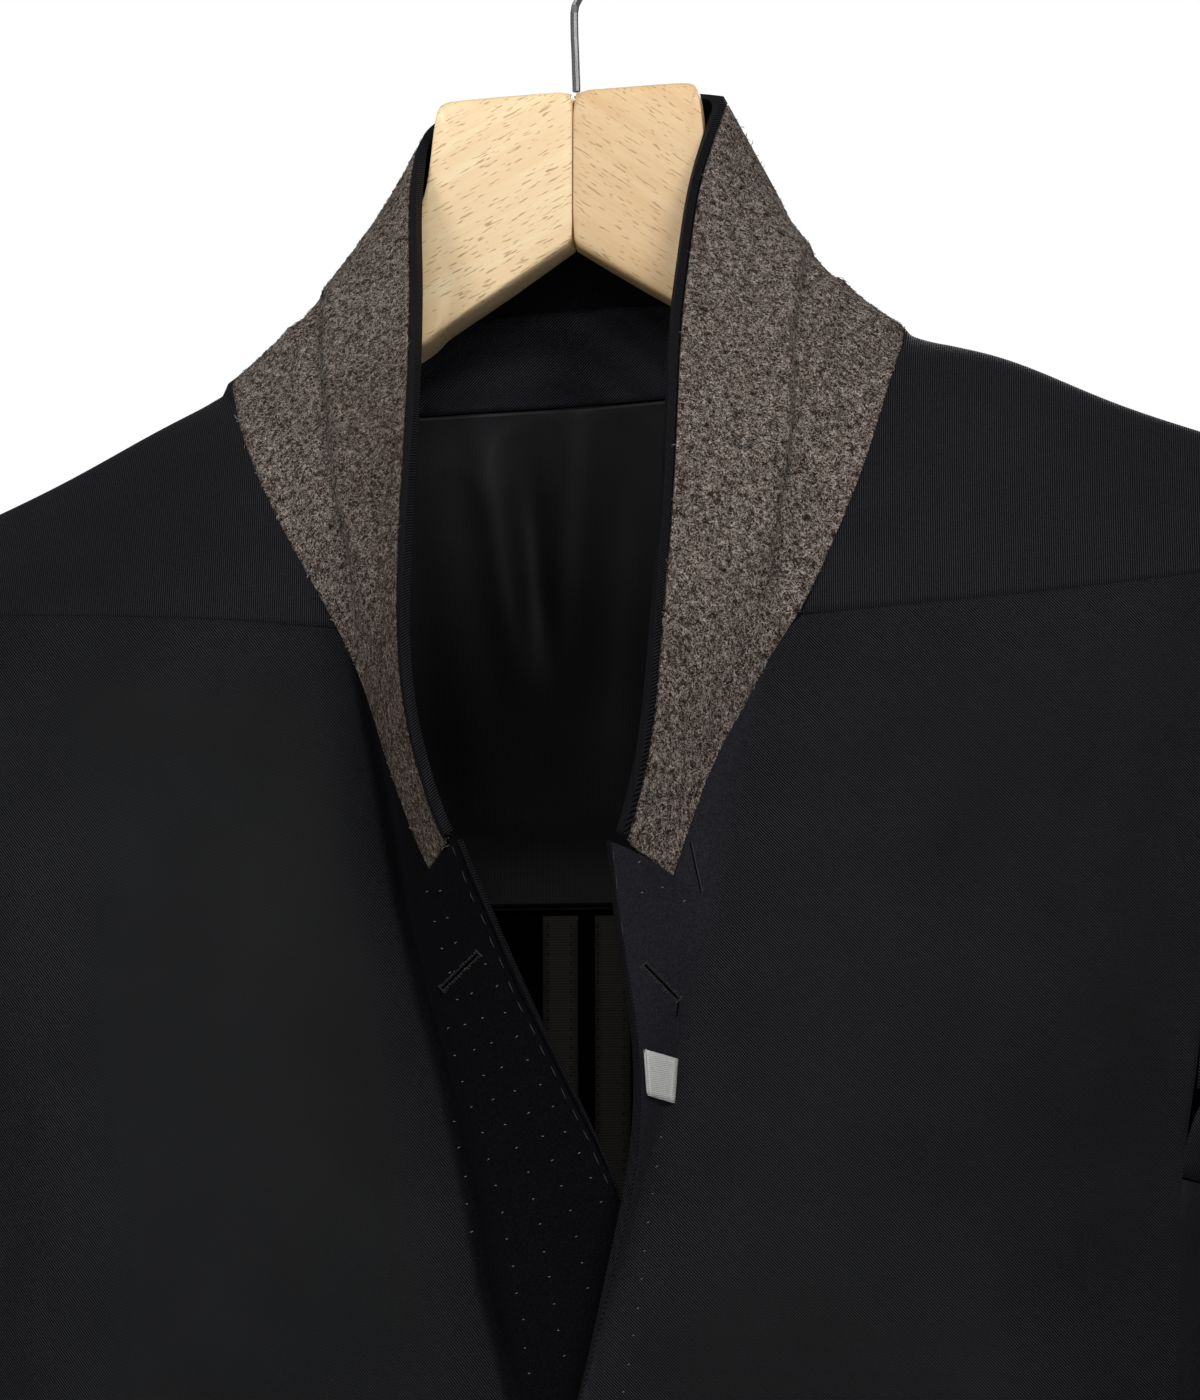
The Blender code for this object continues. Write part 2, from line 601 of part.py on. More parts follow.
def sleeve_grid(side, armhole):
    """A whole sleeve as closed rings, crown first, then round by the front."""
    rings = [ring_on(*armhole)]
    for cx, cz, ux, uz, middle, depth in SLEEVE:
        crown, under = Vector((side * cx, middle, cz)), Vector((side * ux, middle, uz))
        centre, reach = (crown + under) / 2, (crown - under) / 2
        ring = []
        for k in range(ROUND):
            turn = 2 * math.pi * k / ROUND
            ring.append(centre + reach * math.cos(turn) - Vector((0, depth * math.sin(turn), 0)))
        rings.append(ring)
    steps = [1] + [SLEEVE_STEPS] * (len(rings) - 2)
    grid = columns_of([spline(column, steps) for column in columns_of(rings)])
    return [[p + crease_of(p, side) for p in row] for row in grid]


def crease_of(point, side):
    """Soft creases across the inside of the elbow."""
    total = 0.0
    for level, slope, height, spread in SLEEVE_CREASES:
        off = point.z - level - slope * (abs(point.x) - SLEEVE_MIDDLE)
        total += height * math.exp(-((off / spread) ** 2))
    ahead = max(0.0, min(1.0, (-30 - point.y) / 25))
    return Vector((0, -total * ahead, 0))


def ring_on(loop, corners):
    """ROUND points at equal steps along a closed line, the nearest moved into each corner."""
    closed = [*loop, loop[0]]
    lengths = [(b - a).length for a, b in zip(closed, closed[1:])]
    step = sum(lengths) / ROUND
    found, at, gone = [], 0, 0.0
    for k in range(ROUND):
        while gone + lengths[at] < k * step - 1e-9:
            gone += lengths[at]
            at += 1
        found.append(closed[at].lerp(closed[at + 1], (k * step - gone) / lengths[at]))
    for corner in corners:
        near = min(range(ROUND), key=lambda k: (found[k] - corner).length)
        found[near] = corner
    return found


def armhole_of(side, front, back, under):
    """The closed line of an armhole: crown, down the front, under the arm and up the back."""
    ridge, below = RIDGE_ROW * STEPS, len(LOWER_LEVELS) * STEPS
    line = [back[i][-1] for i in range(ridge, 0, -1)]
    line += [row[0] for row in front[: len(front) - below]]
    line += under[0]
    line += [back[i][-1] for i in range(len(back) - below - 1, ridge, -1)]
    out = Vector((side * ARMHOLE_GAP, 0, ARMHOLE_GAP / 2))
    return [p + out for p in line], [under[0][0] + out, under[0][-1] + out]


def point_on(grid, x, z):
    """The point of a grid at this x and level, found in the last quad that holds it."""
    for above, under in reversed(list(zip(grid, grid[1:]))):
        for j in range(len(above) - 1):
            for a, b, c in ((above[j], above[j + 1], under[j + 1]), (above[j], under[j + 1], under[j])):
                area = (b.x - a.x) * (c.z - a.z) - (c.x - a.x) * (b.z - a.z)
                if abs(area) < 1e-9:
                    continue
                s = ((x - a.x) * (c.z - a.z) - (c.x - a.x) * (z - a.z)) / area
                t = ((b.x - a.x) * (z - a.z) - (x - a.x) * (b.z - a.z)) / area
                if s >= -1e-6 and t >= -1e-6 and s + t <= 1 + 1e-6:
                    return a + (b - a) * s + (c - a) * t
    raise ValueError(f"no cloth at {x:.1f}, {z:.1f}")


def marks_of(row, start, cut):
    """Distances from the row's end, with the points after start closed up to end at the cut."""
    lengths = [(q - p).length for p, q in zip(row, row[1:])]
    marks = [sum(lengths[i:]) for i in range(len(row))]
    whole = marks[start]
    return [mark if i < start else cut + mark * (whole - cut) / whole for i, mark in enumerate(marks)]


def place_from_end(row, distance):
    """The stretch of a row, and the part of it, that lie this far from its last point."""
    left = distance
    for k in range(len(row) - 2, -1, -1):
        stretch = (row[k + 1] - row[k]).length
        if left <= stretch:
            return k, 1 - left / stretch
        left -= stretch
    return 0, 0.0


def layer(name, rows, out, marks, top, low, finish, shared=None):
    """A closed wall under a grid: marks say how far from the edge each point lies, top and low how deep."""
    outward = shared or normals_of(rows, out)
    sides = ([], [])
    for row, away, line in zip(rows, outward, marks):
        for side, depths in zip(sides, (top, low)):
            made = []
            for mark, depth in zip(line, depths):
                k, t = place_from_end(row, mark)
                n = away[k].lerp(away[k + 1], t).normalized()
                made.append(row[k].lerp(row[k + 1], t) - n * depth)
            side.append(made)
    return closed_wall(name, sides[0], sides[1], finish)


def make_front(side, name, whole, shared, cloth):
    """A front and its facing, with the outward directions that it shares with the side panel."""
    rows = drawn_in(hang_grid(whole), last=0.0, top=YOKE_SEAM)
    start = (LIP_ROW - 1) * STEPS
    marks, folded_over = [], []
    for i, row in enumerate(rows):
        lip = LIP * max(0.0, min(1.0, (i - start) / STEPS))
        marks.append(marks_of(row, len(row) - 5, lip + LIP_STEP if lip else SEAM))
        folded_over.append([*marks[-1][-FACING_COLUMNS:], lip + LIP_STEP / 3, lip - LIP_STEP / 3, 0.0])
    count = len(rows[0])
    layer(f"front_{name}", rows, side, marks, [0.0] * count, [CLOTH] * count, cloth, shared)
    inside = FACING_COLUMNS + 1
    top = [CLOTH + BEHIND] * inside + [0.0] * 2
    low = [CLOTH + BEHIND + FINE] * (inside + 2)
    kept = slice(start + 1, -1)
    marks = folded_over[kept]
    layer(f"facing_{name}", rows[kept], side, marks, top, low, cloth, shared[kept])


def make_collar(melton, cloth):
    """The undercollar, and the top collar that lies behind it and turns over its free edge."""
    rows = smooth_grid(collar_rows(), 2)
    neck = neck_line()
    for row, seam in zip(rows, neck):
        row[0] = seam.copy()
    rows = drawn_in(hang_grid(rows), last=0.0)
    marks, folded_over = [], []
    for row in rows:
        marks.append(marks_of(row, 2, LIP + LIP_STEP))
        folded_over.append([marks[-1][0] - TOP_SHORT, *marks[-1][1:], LIP + LIP_STEP / 3, LIP - LIP_STEP / 3, 0.0])
    count = len(rows[0])
    layer("undercollar", rows, 1, marks, [0.0] * count, [CLOTH] * count, melton)
    top = [CLOTH + BEHIND] * (count + 1) + [0.0] * 2
    low = [CLOTH + BEHIND + FINE] * (count + 3)
    layer("top_collar", rows, 1, folded_over, top, low, cloth)


def make_sleeve(name, side, rings, first, last, cloth):
    """One piece of a sleeve, between two points of its rings."""
    wide = [[ring[k % ROUND] for k in range(first - 1, last + 2)] for ring in rings]
    outward = [row[1:-1] for row in normals_of(wide, side)]
    grid = drawn_in([row[1:-1] for row in wide], top=0.0, bottom=0.0)
    inner = [[p - n * CLOTH for p, n in zip(row, away)] for row, away in zip(grid, outward)]
    closed_wall(name, grid, inner, cloth)
    return grid


def make_body(name, side, cloth):
    """Front, back, side panel and sleeve of one side. Gives back the grids of front, back and sleeve."""
    front, back = front_grid(side), folded_back(back_grid(side))
    for j in range(1, len(front[0]) - 1):
        front[0][j] = on_line(back[0], front[0][j].x)
    under = side_grid(side, front, back)
    ahead, behind = normals_of(hang_grid(front), side), normals_of(hang_grid(back), side)
    beside = normals_of(hang_grid(under), -side)
    below = len(under)
    for i, row in enumerate(beside):
        for mine, other, at in ((0, ahead[i - below], 0), (-1, behind[i - below], -1)):
            row[mine] = other[at] = (row[mine] + other[at]).normalized()
    for line, away, other, theirs in ((front, ahead, back, behind), (back, behind, front, ahead)):
        near = [min(range(len(other[0])), key=lambda k: (other[0][k] - p).length) for p in line[0]]
        away[0] = [(n + theirs[0][k]).normalized() for n, k in zip(away[0], near)]
    for row in behind[-len(CENTRE_ROWS) - below - 1 :]:
        row[0] = Vector((0, row[0].y, row[0].z)).normalized()
    make_front(side, name, front, ahead, cloth)
    walled(f"back_{name}", drawn_in(hang_grid(back), first=CENTRE_SEAM), behind, CLOTH, cloth)
    walled(f"side_{name}", drawn_in(hang_grid(under)), beside, CLOTH, cloth)
    rings = hang_grid(sleeve_grid(side, armhole_of(side, front, back, under)))
    upper = make_sleeve(f"sleeve_upper_{name}", side, rings, -SEAM_AT, SEAM_AT, cloth)
    make_sleeve(f"sleeve_under_{name}", side, rings, SEAM_AT, ROUND - SEAM_AT, cloth)
    return front, back, upper


def make_flap(name, side, front, cloth):
    """The pocket flap lies on the front, so it is made from the front's points, moved out."""
    rows = [row[FLAP_FIRST : FLAP_LAST + 1] for row in hang_grid(front)]
    outward = normals_of(rows, side)
    top = -len(LOWER_LEVELS) + FLAP_TOP
    grid = [[p + n * (FLAP_OFF + CLOTH) for p, n in zip(rows[i], outward[i])] for i in (top, top + 1)]
    away = [outward[top], outward[top + 1]]
    walled(name, drawn_in(grid, first=2.0, last=2.0), away, CLOTH, cloth)


def on_line(line, x):
    """The point of a line at this x."""
    for a, b in zip(line, line[1:]):
        if min(a.x, b.x) <= x <= max(a.x, b.x) and a.x != b.x:
            return a.lerp(b, (x - a.x) / (b.x - a.x))
    return min(line, key=lambda p: abs(p.x - x)).copy()


def folded_back(grid):
    """The back with its hanging folds, from the shoulder blades down."""
    found = []
    for row in grid:
        found.append([p + Vector((0, fold_of(p.x, p.z, 1) if p.y > 0 else 0.0, 0)) for p in row])
    return found


def laid_inside(name, grids, rows, behind, thick, finish, across=14):
    """A sheet inside the back. Rows hold level, drop at the sides, left x, right x and stand-off."""
    grid = []
    for level, drop, left, right, off in rows:
        line = []
        for k in range(across + 1):
            x = left + (right - left) * k / across
            z = level - drop * (2 * k / across - 1) ** 2
            on = point_on(grids[0] if x < 0 else grids[1], x, z)
            line.append(Vector((x, on.y - behind - off - SIDE_OFF * (2 * k / across - 1) ** 2, z)))
        grid.append(line)
    return wall(name, hang_grid(grid), 1, finish, thick=thick)


def make_button(name, place, out, size, finish):
    """A turned button with a rim and a dished middle. Place is the middle of its back."""
    out = out.normalized()
    across = out.cross(Vector((0, 0, 1))).normalized()
    up = across.cross(out).normalized()
    points, faces = [], []
    for radius, height in BUTTON_PROFILE:
        count = BUTTON_ROUND if radius else 1
        for k in range(count):
            turn = 2 * math.pi * k / BUTTON_ROUND
            ring = (across * math.cos(turn) + up * math.sin(turn)) * radius * size / 2
            points.append(place + ring + out * height * BUTTON_THICK)
    starts = [0] + [1 + BUTTON_ROUND * i for i in range(len(BUTTON_PROFILE) - 1)]
    for k in range(BUTTON_ROUND):
        after = (k + 1) % BUTTON_ROUND
        faces.append((0, starts[1] + k, starts[1] + after))
        for low, high in zip(starts[1:-1], starts[2:-1]):
            faces.append((low + k, high + k, high + after, low + after))
        faces.append((starts[-2] + k, starts[-1], starts[-2] + after))
    return make_object(name, points, faces, finish)


def make_wing(name, side, beech):
    """One half of the hanger: rounded sections from the chevron joint to the shoulder's end."""
    points, faces = [], []
    for x, top, low, ahead, behind, behind_low in WING:
        r = WING_ROUND
        ring = (
            (ahead + r, top), (behind - r, top), (behind, top - r),
            ((behind + behind_low) / 2, (top + low) / 2), (behind_low, low + r), (behind_low - r, low),
            (ahead + r, low), (ahead, low + r), (ahead, (top + low) / 2), (ahead, top - r),
        )
        wider = WIDER[side] * min(1.0, x / WIDER_FULL) * max(0.0, min(1.0, (WIDER_GONE - x) / WIDER_FADE))
        slid = max(0.0, min(1.0, (x - BLOCK_END) / BLOCK_END))
        for y, z in ring:
            place = hung((side * (x + wider), y, z))
            points.append(place - Vector((swing_of(y, z) - BLOCK_SHIFT, 0, 0)) * (1 - slid))
    count = len(ring)
    for i in range(len(WING) - 1):
        for k in range(count):
            a, b = i * count + k, i * count + (k + 1) % count
            faces.append((a, b, b + count, a + count))
    for start in (0, len(points) - count):
        points.append(sum(points[start : start + count], Vector()) / count)
        faces += [(len(points) - 1, start + k, start + (k + 1) % count) for k in range(count)]
    return make_object(name, points, faces, beech)


def make_hook(steel):
    """A steel rod that bends off its stem into an open eye over it."""
    reach = HOOK_INSIDE + ROD / 2
    stem = spline([(x, 0, z) for x, z in HOOK_STEM], 2)
    route = list(stem[:-1])
    for k in range(HOOK_POINTS):
        turn = math.radians(HOOK_FROM + (HOOK_TO - HOOK_FROM) * k / (HOOK_POINTS - 1))
        route.append(Vector((reach * math.cos(turn), 0, reach * math.sin(turn) - HOOK_INSIDE)))
    curve = bpy.data.curves.new("hook", "CURVE")
    curve.dimensions = "3D"
    curve.bevel_depth = ROD / 2 * MM
    curve.bevel_resolution = 2
    curve.use_fill_caps = True
    line = curve.splines.new("POLY")
    line.points.add(len(route) - 1)
    for point, place in zip(line.points, route):
        point.co = (*(place * MM), 1.0)
    item = bpy.data.objects.new("hook", curve)
    bpy.context.scene.collection.objects.link(item)
    curve.materials.append(steel)
    return item


def make_on_front(name, grid, rows, across, finish, thick, lift):
    """A piece that lies on a front. Rows hold two corners each, x and level, left then right."""
    sheet = []
    for (x0, z0), (x1, z1) in rows:
        line = []
        for k in range(across + 1):
            t = k / across
            line.append(hung(point_on(grid, x0 + (x1 - x0) * t, z0 + (z1 - z0) * t)))
        sheet.append(line)
    return wall(name, sheet, -1, finish, thick=thick, lift=lift + thick)


def main():
    clear_scene()
    cloth = material("jacket_cloth", (0.012, 0.013, 0.017), 0.85)
    melton = material("melton", (0.075, 0.06, 0.052), 0.95)
    satin = material("lining_satin", (0.006, 0.006, 0.007), 0.42)
    ribbon = material("binding_tape", (0.03, 0.028, 0.022), 0.8)
    horn = material("horn_button", (0.012, 0.011, 0.01), 0.35)
    thread = material("pale_tab", (0.5, 0.5, 0.48), 0.8)
    beech = material("beech", (0.72, 0.47, 0.26), 0.5)
    steel = material("steel_rod", (0.6, 0.6, 0.6), 0.25, 1.0)

    grids = {}
    for name, side in (("left", -1), ("right", 1)):
        grids[name] = make_body(name, side, cloth)
    make_collar(melton, cloth)

    backs = (grids["left"][1], grids["right"][1])
    laid_inside("back_facing", backs, BACK_FACING, CLOTH + APART, FINE, cloth)
    laid_inside("back_lining", backs, LINING, CLOTH + APART, FINE, satin)
    for name, left, right in TAPES:
        rows = [(level, 0.0, left, right, TAPE_OFF) for level in TAPE_LEVELS]
        laid_inside(f"tape_{name}", backs, rows, CLOTH + APART, TAPE_THICK, ribbon, 1)

    make_on_front("lapel_tab", grids["right"][0], TAB, 2, thread, TAB_THICK, FLAP_OFF)
    for name, side in (("left", -1), ("right", 1)):
        make_flap(f"flap_{name}", side, grids[name][0], cloth)

    for number, level in enumerate(FRONT_BUTTONS, 1):
        near = [(-BUTTON_REACH, 0), (BUTTON_REACH, 0), (0, -BUTTON_REACH), (0, BUTTON_REACH)]
        near = [hung(point_on(grids["right"][0], FRONT_BUTTON_X + x, level + z)) for x, z in near]
        out = (near[1] - near[0]).cross(near[2] - near[3]).normalized() * -1
        on = hung(point_on(grids["right"][0], FRONT_BUTTON_X, level))
        make_button(f"front_button_{number}", on + out * BUTTON_OFF, out, FRONT_BUTTON, horn)
    for name, side in (("left", -1), ("right", 1)):
        turned = grids[name][2]
        outward = normals_of(turned, side)
        for number in range(1, SLEEVE_BUTTONS + 1):
            i, t = from_cuff(turned, CUFF_BUTTON_FIRST + CUFF_BUTTON_PITCH * (number - 1))
            place = turned[i][BUTTON_COLUMN].lerp(turned[i + 1][BUTTON_COLUMN], t)
            out = outward[i][BUTTON_COLUMN].lerp(outward[i + 1][BUTTON_COLUMN], t)
            make_button(f"cuff_button_{name}_{number}", place + out * BUTTON_OFF, out, CUFF_BUTTON, horn)

    for name, side in (("left", -1), ("right", 1)):
        make_wing(f"hanger_{name}", side, beech)
    make_hook(steel)


def from_cuff(grid, distance):
    """The row and the part of it that lie this far above the cuff, along the button's column."""
    gone = 0.0
    for i in range(len(grid) - 2, -1, -1):
        length = (grid[i][BUTTON_COLUMN] - grid[i + 1][BUTTON_COLUMN]).length
        if gone + length >= distance:
            return i, 1 - (distance - gone) / length
        gone += length
    return 0, 0.0


main()
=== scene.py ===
import bisect
import math
import random

import bmesh
import bpy
from mathutils import Matrix, Quaternion, Vector
from mathutils.bvhtree import BVHTree


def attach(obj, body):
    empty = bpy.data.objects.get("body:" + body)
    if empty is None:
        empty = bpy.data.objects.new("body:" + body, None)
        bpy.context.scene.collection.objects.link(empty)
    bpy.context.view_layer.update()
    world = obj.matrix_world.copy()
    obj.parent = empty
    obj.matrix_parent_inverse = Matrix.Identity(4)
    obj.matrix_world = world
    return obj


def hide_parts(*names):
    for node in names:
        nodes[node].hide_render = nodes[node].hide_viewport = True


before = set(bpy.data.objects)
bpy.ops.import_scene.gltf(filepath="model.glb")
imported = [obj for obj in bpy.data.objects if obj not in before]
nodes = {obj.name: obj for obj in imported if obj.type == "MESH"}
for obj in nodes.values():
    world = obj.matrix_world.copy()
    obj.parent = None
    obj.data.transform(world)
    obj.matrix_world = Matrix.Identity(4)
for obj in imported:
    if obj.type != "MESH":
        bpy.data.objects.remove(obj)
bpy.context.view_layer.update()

mm = 0.001

# The camera stands a little to the right and below, and looks up at the collar.
camera = {"target": (22.4, -108.0, -305.0), "yaw": 6.0, "rise": -8.7, "distance": 2200.0, "focal": 6875.0}
photo = {"width": 1200, "height": 1400}
yaw, rise = math.radians(camera["yaw"]), math.radians(camera["rise"])
towards = Vector((math.sin(yaw) * math.cos(rise), -math.cos(yaw) * math.cos(rise), math.sin(rise)))
rightward = Vector((math.cos(yaw), math.sin(yaw), 0))
upward = towards.cross(rightward)
eye = (Vector(camera["target"]) + towards * camera["distance"]) * mm
lens = bpy.data.cameras.new("camera")
lens.sensor_fit = "HORIZONTAL"
lens.sensor_width = 36.0
lens.lens = 36.0 * camera["focal"] / photo["width"]
lens.clip_end = 20.0
viewer = bpy.data.objects.new("camera", lens)
bpy.context.scene.collection.objects.link(viewer)
cameraAxes = Matrix((rightward, upward, towards)).transposed().to_4x4()
viewer.matrix_world = Matrix.Translation(eye) @ cameraAxes
bpy.context.scene.camera = viewer


def rayAt(across, down):
    aim = rightward * ((across - photo["width"] / 2) / camera["focal"])
    aim += upward * ((photo["height"] / 2 - down) / camera["focal"]) - towards
    return aim.normalized()


print("camera set")


# Materials
def put(tree, kind, wires=None, **settings):
    made = tree.nodes.new(kind)
    for name, value in settings.items():
        setattr(made, name, value)
    for name, value in (wires or {}).items():
        if isinstance(value, bpy.types.NodeSocket):
            tree.links.new(value, made.inputs[name])
        else:
            made.inputs[name].default_value = value
    return made


def startMaterial(name, settings):
    made = bpy.data.materials.new(name)
    made.use_nodes = True
    tree = made.node_tree
    shader = tree.nodes["Principled BSDF"]
    for socket, value in settings.items():
        shader.inputs[socket].default_value = value
    place = put(tree, "ShaderNodeTexCoord").outputs["Object"]
    return made, tree, shader, place


def noise(tree, place, scale, detail=2.0, rough=0.5, stretch=(1, 1, 1), turn=(0, 0, 0)):
    if stretch != (1, 1, 1) or turn != (0, 0, 0):
        wires = {"Vector": place, "Rotation": turn}
        way = put(tree, "ShaderNodeVectorRotate", wires, rotation_type="EULER_XYZ")
        wires = {0: way.outputs[0], 1: stretch}
        place = put(tree, "ShaderNodeVectorMath", wires, operation="MULTIPLY").outputs[0]
    wires = {"Vector": place, "Scale": scale, "Detail": detail, "Roughness": rough}
    made = put(tree, "ShaderNodeTexNoise", wires)
    return made.outputs["Fac"]


def mathNode(tree, kind, first, second=0.0):
    return put(tree, "ShaderNodeMath", {0: first, 1: second}, operation=kind).outputs[0]


def ramp(tree, value, low, high, first=0.0, last=1.0):
    made = put(tree, "ShaderNodeMapRange", {
        "Value": value, "From Min": low, "From Max": high, "To Min": first, "To Max": last})
    made.clamp = True
    return made.outputs[0]


def mixed(tree, part, first, second):
    made = put(tree, "ShaderNodeMix", data_type="RGBA")
    for at, value in ((0, part), (6, first), (7, second)):
        if isinstance(value, bpy.types.NodeSocket):
            tree.links.new(value, made.inputs[at])
        else:
            made.inputs[at].default_value = value if at == 0 else (*value, 1.0)
    return made.outputs[2]


def ribs(tree, place, direction, pitch, wander=0.0):
    wires = {0: place, 1: direction}
    along = put(tree, "ShaderNodeVectorMath", wires, operation="DOT_PRODUCT").outputs["Value"]
    turns = mathNode(tree, "MULTIPLY", along, 2 * math.pi / pitch)
    if wander:
        turns = mathNode(tree, "ADD", turns, mathNode(tree, "MULTIPLY", noise(tree, place, 260.0), wander))
    return ramp(tree, mathNode(tree, "SINE", turns), -1.0, 1.0)


def bump(tree, shader, height, distance, strength=1.0):
    made = put(tree, "ShaderNodeBump", {"Height": height, "Distance": distance, "Strength": strength})
    tree.links.new(made.outputs[0], shader.inputs["Normal"])


def woolTwill(name, look):
    made, tree, shader, place = startMaterial(name, {
        "Sheen Weight": look["sheen"], "Sheen Roughness": 0.5, "Sheen Tint": (0.72, 0.78, 0.9, 1.0),
        "Specular IOR Level": 0.07})
    line = ribs(tree, place, Vector(look["direction"]).normalized(), look["pitch"], 0.4)
    knots = ribs(tree, place, Vector(look["across"]).normalized(), look["pitch"], 0.5)
    yarn = noise(tree, place, 1500.0, 2.0)
    soft = noise(tree, place, 40.0, 3.0)
    broad = noise(tree, place, 9.0, 2.0)
    narrow = mathNode(tree, "POWER", line, 2.6)
    weave = mathNode(tree, "MULTIPLY", narrow, ramp(tree, knots, 0.0, 1.0, 0.55, 1.0))
    weave = mathNode(tree, "MULTIPLY", weave, ramp(tree, yarn, 0.3, 0.7, 0.6, 1.25))
    weave = mathNode(tree, "MULTIPLY", weave, ramp(tree, soft, 0.25, 0.8, 0.86, 1.12))
    weave = mathNode(tree, "MULTIPLY", weave, ramp(tree, broad, 0.3, 0.7, 0.8, 1.2))
    # The turned lapel shows a smoother, bluer face than the front does; its colours also hold painted shade,
    # most on the left lapel, and the lapel attribute spreads part of it onto the front next to the roll crease
    # as painted shade.
    turned = put(tree, "ShaderNodeAttribute", attribute_name="lapel").outputs["Fac"]
    front = mixed(tree, weave, look["dark"], look["light"])
    lapel = mixed(tree, ramp(tree, yarn, 0.3, 0.7), look["lapelDark"], look["lapelLight"])
    tree.links.new(mixed(tree, turned, front, lapel), shader.inputs["Base Color"])
    rough = ramp(tree, line, 0.0, 1.0, 0.9, look["smooth"])
    tree.links.new(ramp(tree, turned, 0.0, 1.0, rough, look["lapelRough"]), shader.inputs["Roughness"])
    height = mathNode(tree, "ADD", mathNode(tree, "MULTIPLY", line, ramp(tree, turned, 0.0, 1.0, 0.8, 0.15)),
                   mathNode(tree, "MULTIPLY", yarn, 0.4))
    bump(tree, shader, height, look["relief"], 0.8)
    return made


def strokes(tree, place, scale, turn, stretch, thin, low, high):
    thread = noise(tree, place, scale, 1.5, 0.45, stretch, turn)
    near = mathNode(tree, "ABSOLUTE", mathNode(tree, "SUBTRACT", thread, 0.5))
    where = ramp(tree, noise(tree, place, scale * 0.5, 1.0, 0.5, (1, 1, 1), turn), low, high)
    return mathNode(tree, "MULTIPLY", ramp(tree, near, 0.0, thin, 1.0, 0.0), where)


def meltonFelt(name, look):
    made, tree, shader, place = startMaterial(name, {
        "Roughness": 0.95, "Sheen Weight": look["sheen"], "Sheen Roughness": 0.6,
        "Sheen Tint": (0.9, 0.86, 0.82, 1.0), "Specular IOR Level": 0.08})
    soft = noise(tree, place, 190.0, 4.0, 0.75)
    fine = noise(tree, place, 1500.0, 3.0, 0.75)
    colour = mixed(tree, ramp(tree, soft, 0.35, 0.65), look["dark"], look["brown"])
    patches = ramp(tree, noise(tree, place, 300.0, 2.0), 0.45, 0.65, 0.0, 0.55)
    colour = mixed(tree, patches, colour, look["olive"])
    colour = mixed(tree, ramp(tree, fine, 0.5, 0.66, 0.0, 0.9), colour, look["gap"])
    height = mathNode(tree, "MULTIPLY", fine, -0.6)
    # Painted shade: beyond the left collar's crease, where it turns in, the colour is mixed towards a darker
    # brown and the pale fibres are dimmed.
    inner = put(tree, "ShaderNodeAttribute", attribute_name="inner").outputs["Fac"]
    fibreShade = ramp(tree, inner, 0.0, 1.0, 1.0, look["innerPale"])
    colour = mixed(tree, mathNode(tree, "MULTIPLY", inner, 0.5), colour, look["innerBrown"])
    for scale, turn, stretch, share in look["fibres"]:
        line = mathNode(tree, "MULTIPLY", strokes(tree, place, scale, turn, stretch, 0.045, 0.43, 0.55), fibreShade)
        colour = mixed(tree, mathNode(tree, "MULTIPLY", line, share), colour, look["pale"])
        height = mathNode(tree, "ADD", height, mathNode(tree, "MULTIPLY", line, 0.7))
    tree.links.new(colour, shader.inputs["Base Color"])
    bump(tree, shader, height, 0.00025, 0.8)
    return made


def satin(name, look):
    made, tree, shader, place = startMaterial(name, {
        "Roughness": 0.4, "Anisotropic": 0.4, "Specular IOR Level": 0.18})
    line = ribs(tree, place, (1.0, 0.0, 0.0), 0.0005, 0.4)
    # Painted shade: the lining's colour darkens to near black towards its bottom, where the inside of the
    # jacket is in shade.
    shadeHeight = put(tree, "ShaderNodeSeparateXYZ", {"Vector": place}).outputs["Z"]
    tone = mathNode(tree, "MULTIPLY", ramp(tree, shadeHeight, -0.30, -0.19), ramp(tree, line, 0.0, 1.0, 0.7, 1.0))
    tree.links.new(mixed(tree, tone, look["deep"], look["colour"]), shader.inputs["Base Color"])
    height = mathNode(tree, "ADD", mathNode(tree, "MULTIPLY", line, 0.3), noise(tree, place, 90.0, 3.0))
    bump(tree, shader, height, 0.0002, 0.5)
    return made


def ribbedTape(name, look):
    made, tree, shader, place = startMaterial(name, {
        "Roughness": 0.72, "Sheen Weight": 0.15, "Sheen Roughness": 0.4, "Specular IOR Level": 0.35})
    line = ribs(tree, place, (0.0, 0.0, 1.0), look["pitch"], 0.5)
    yarn = noise(tree, place, 1600.0, 2.0)
    tone = mathNode(tree, "ADD", mathNode(tree, "MULTIPLY", line, 0.6), mathNode(tree, "MULTIPLY", yarn, 0.4))
    tree.links.new(mixed(tree, tone, look["dark"], look["light"]), shader.inputs["Base Color"])
    bump(tree, shader, tone, 0.0003, 0.9)
    return made


def beechWood(name, look):
    made, tree, shader, place = startMaterial(name, {
        "Roughness": 0.42, "Coat Weight": 0.25, "Coat Roughness": 0.3, "Specular IOR Level": 0.4})
    turn = (0.0, look["turn"], 0.0)
    grain = noise(tree, place, 110.0, 3.0, 0.55, (0.1, 1.0, 1.6), turn)
    fine = noise(tree, place, 900.0, 2.0, 0.6, (0.05, 1.0, 1.0), turn)
    fleck = noise(tree, place, 1700.0, 1.0, 0.4, (0.13, 1.0, 1.0), turn)
    colour = mixed(tree, ramp(tree, grain, 0.3, 0.7), look["pale"], look["warm"])
    colour = mixed(tree, ramp(tree, fine, 0.45, 0.75, 0.0, 0.55), colour, look["warm"])
    colour = mixed(tree, ramp(tree, fleck, 0.62, 0.7, 0.0, 0.8), colour, look["fleck"])
    tree.links.new(colour, shader.inputs["Base Color"])
    bump(tree, shader, mathNode(tree, "ADD", fine, mathNode(tree, "MULTIPLY", fleck, -0.6)), 0.00012, 0.5)
    return made


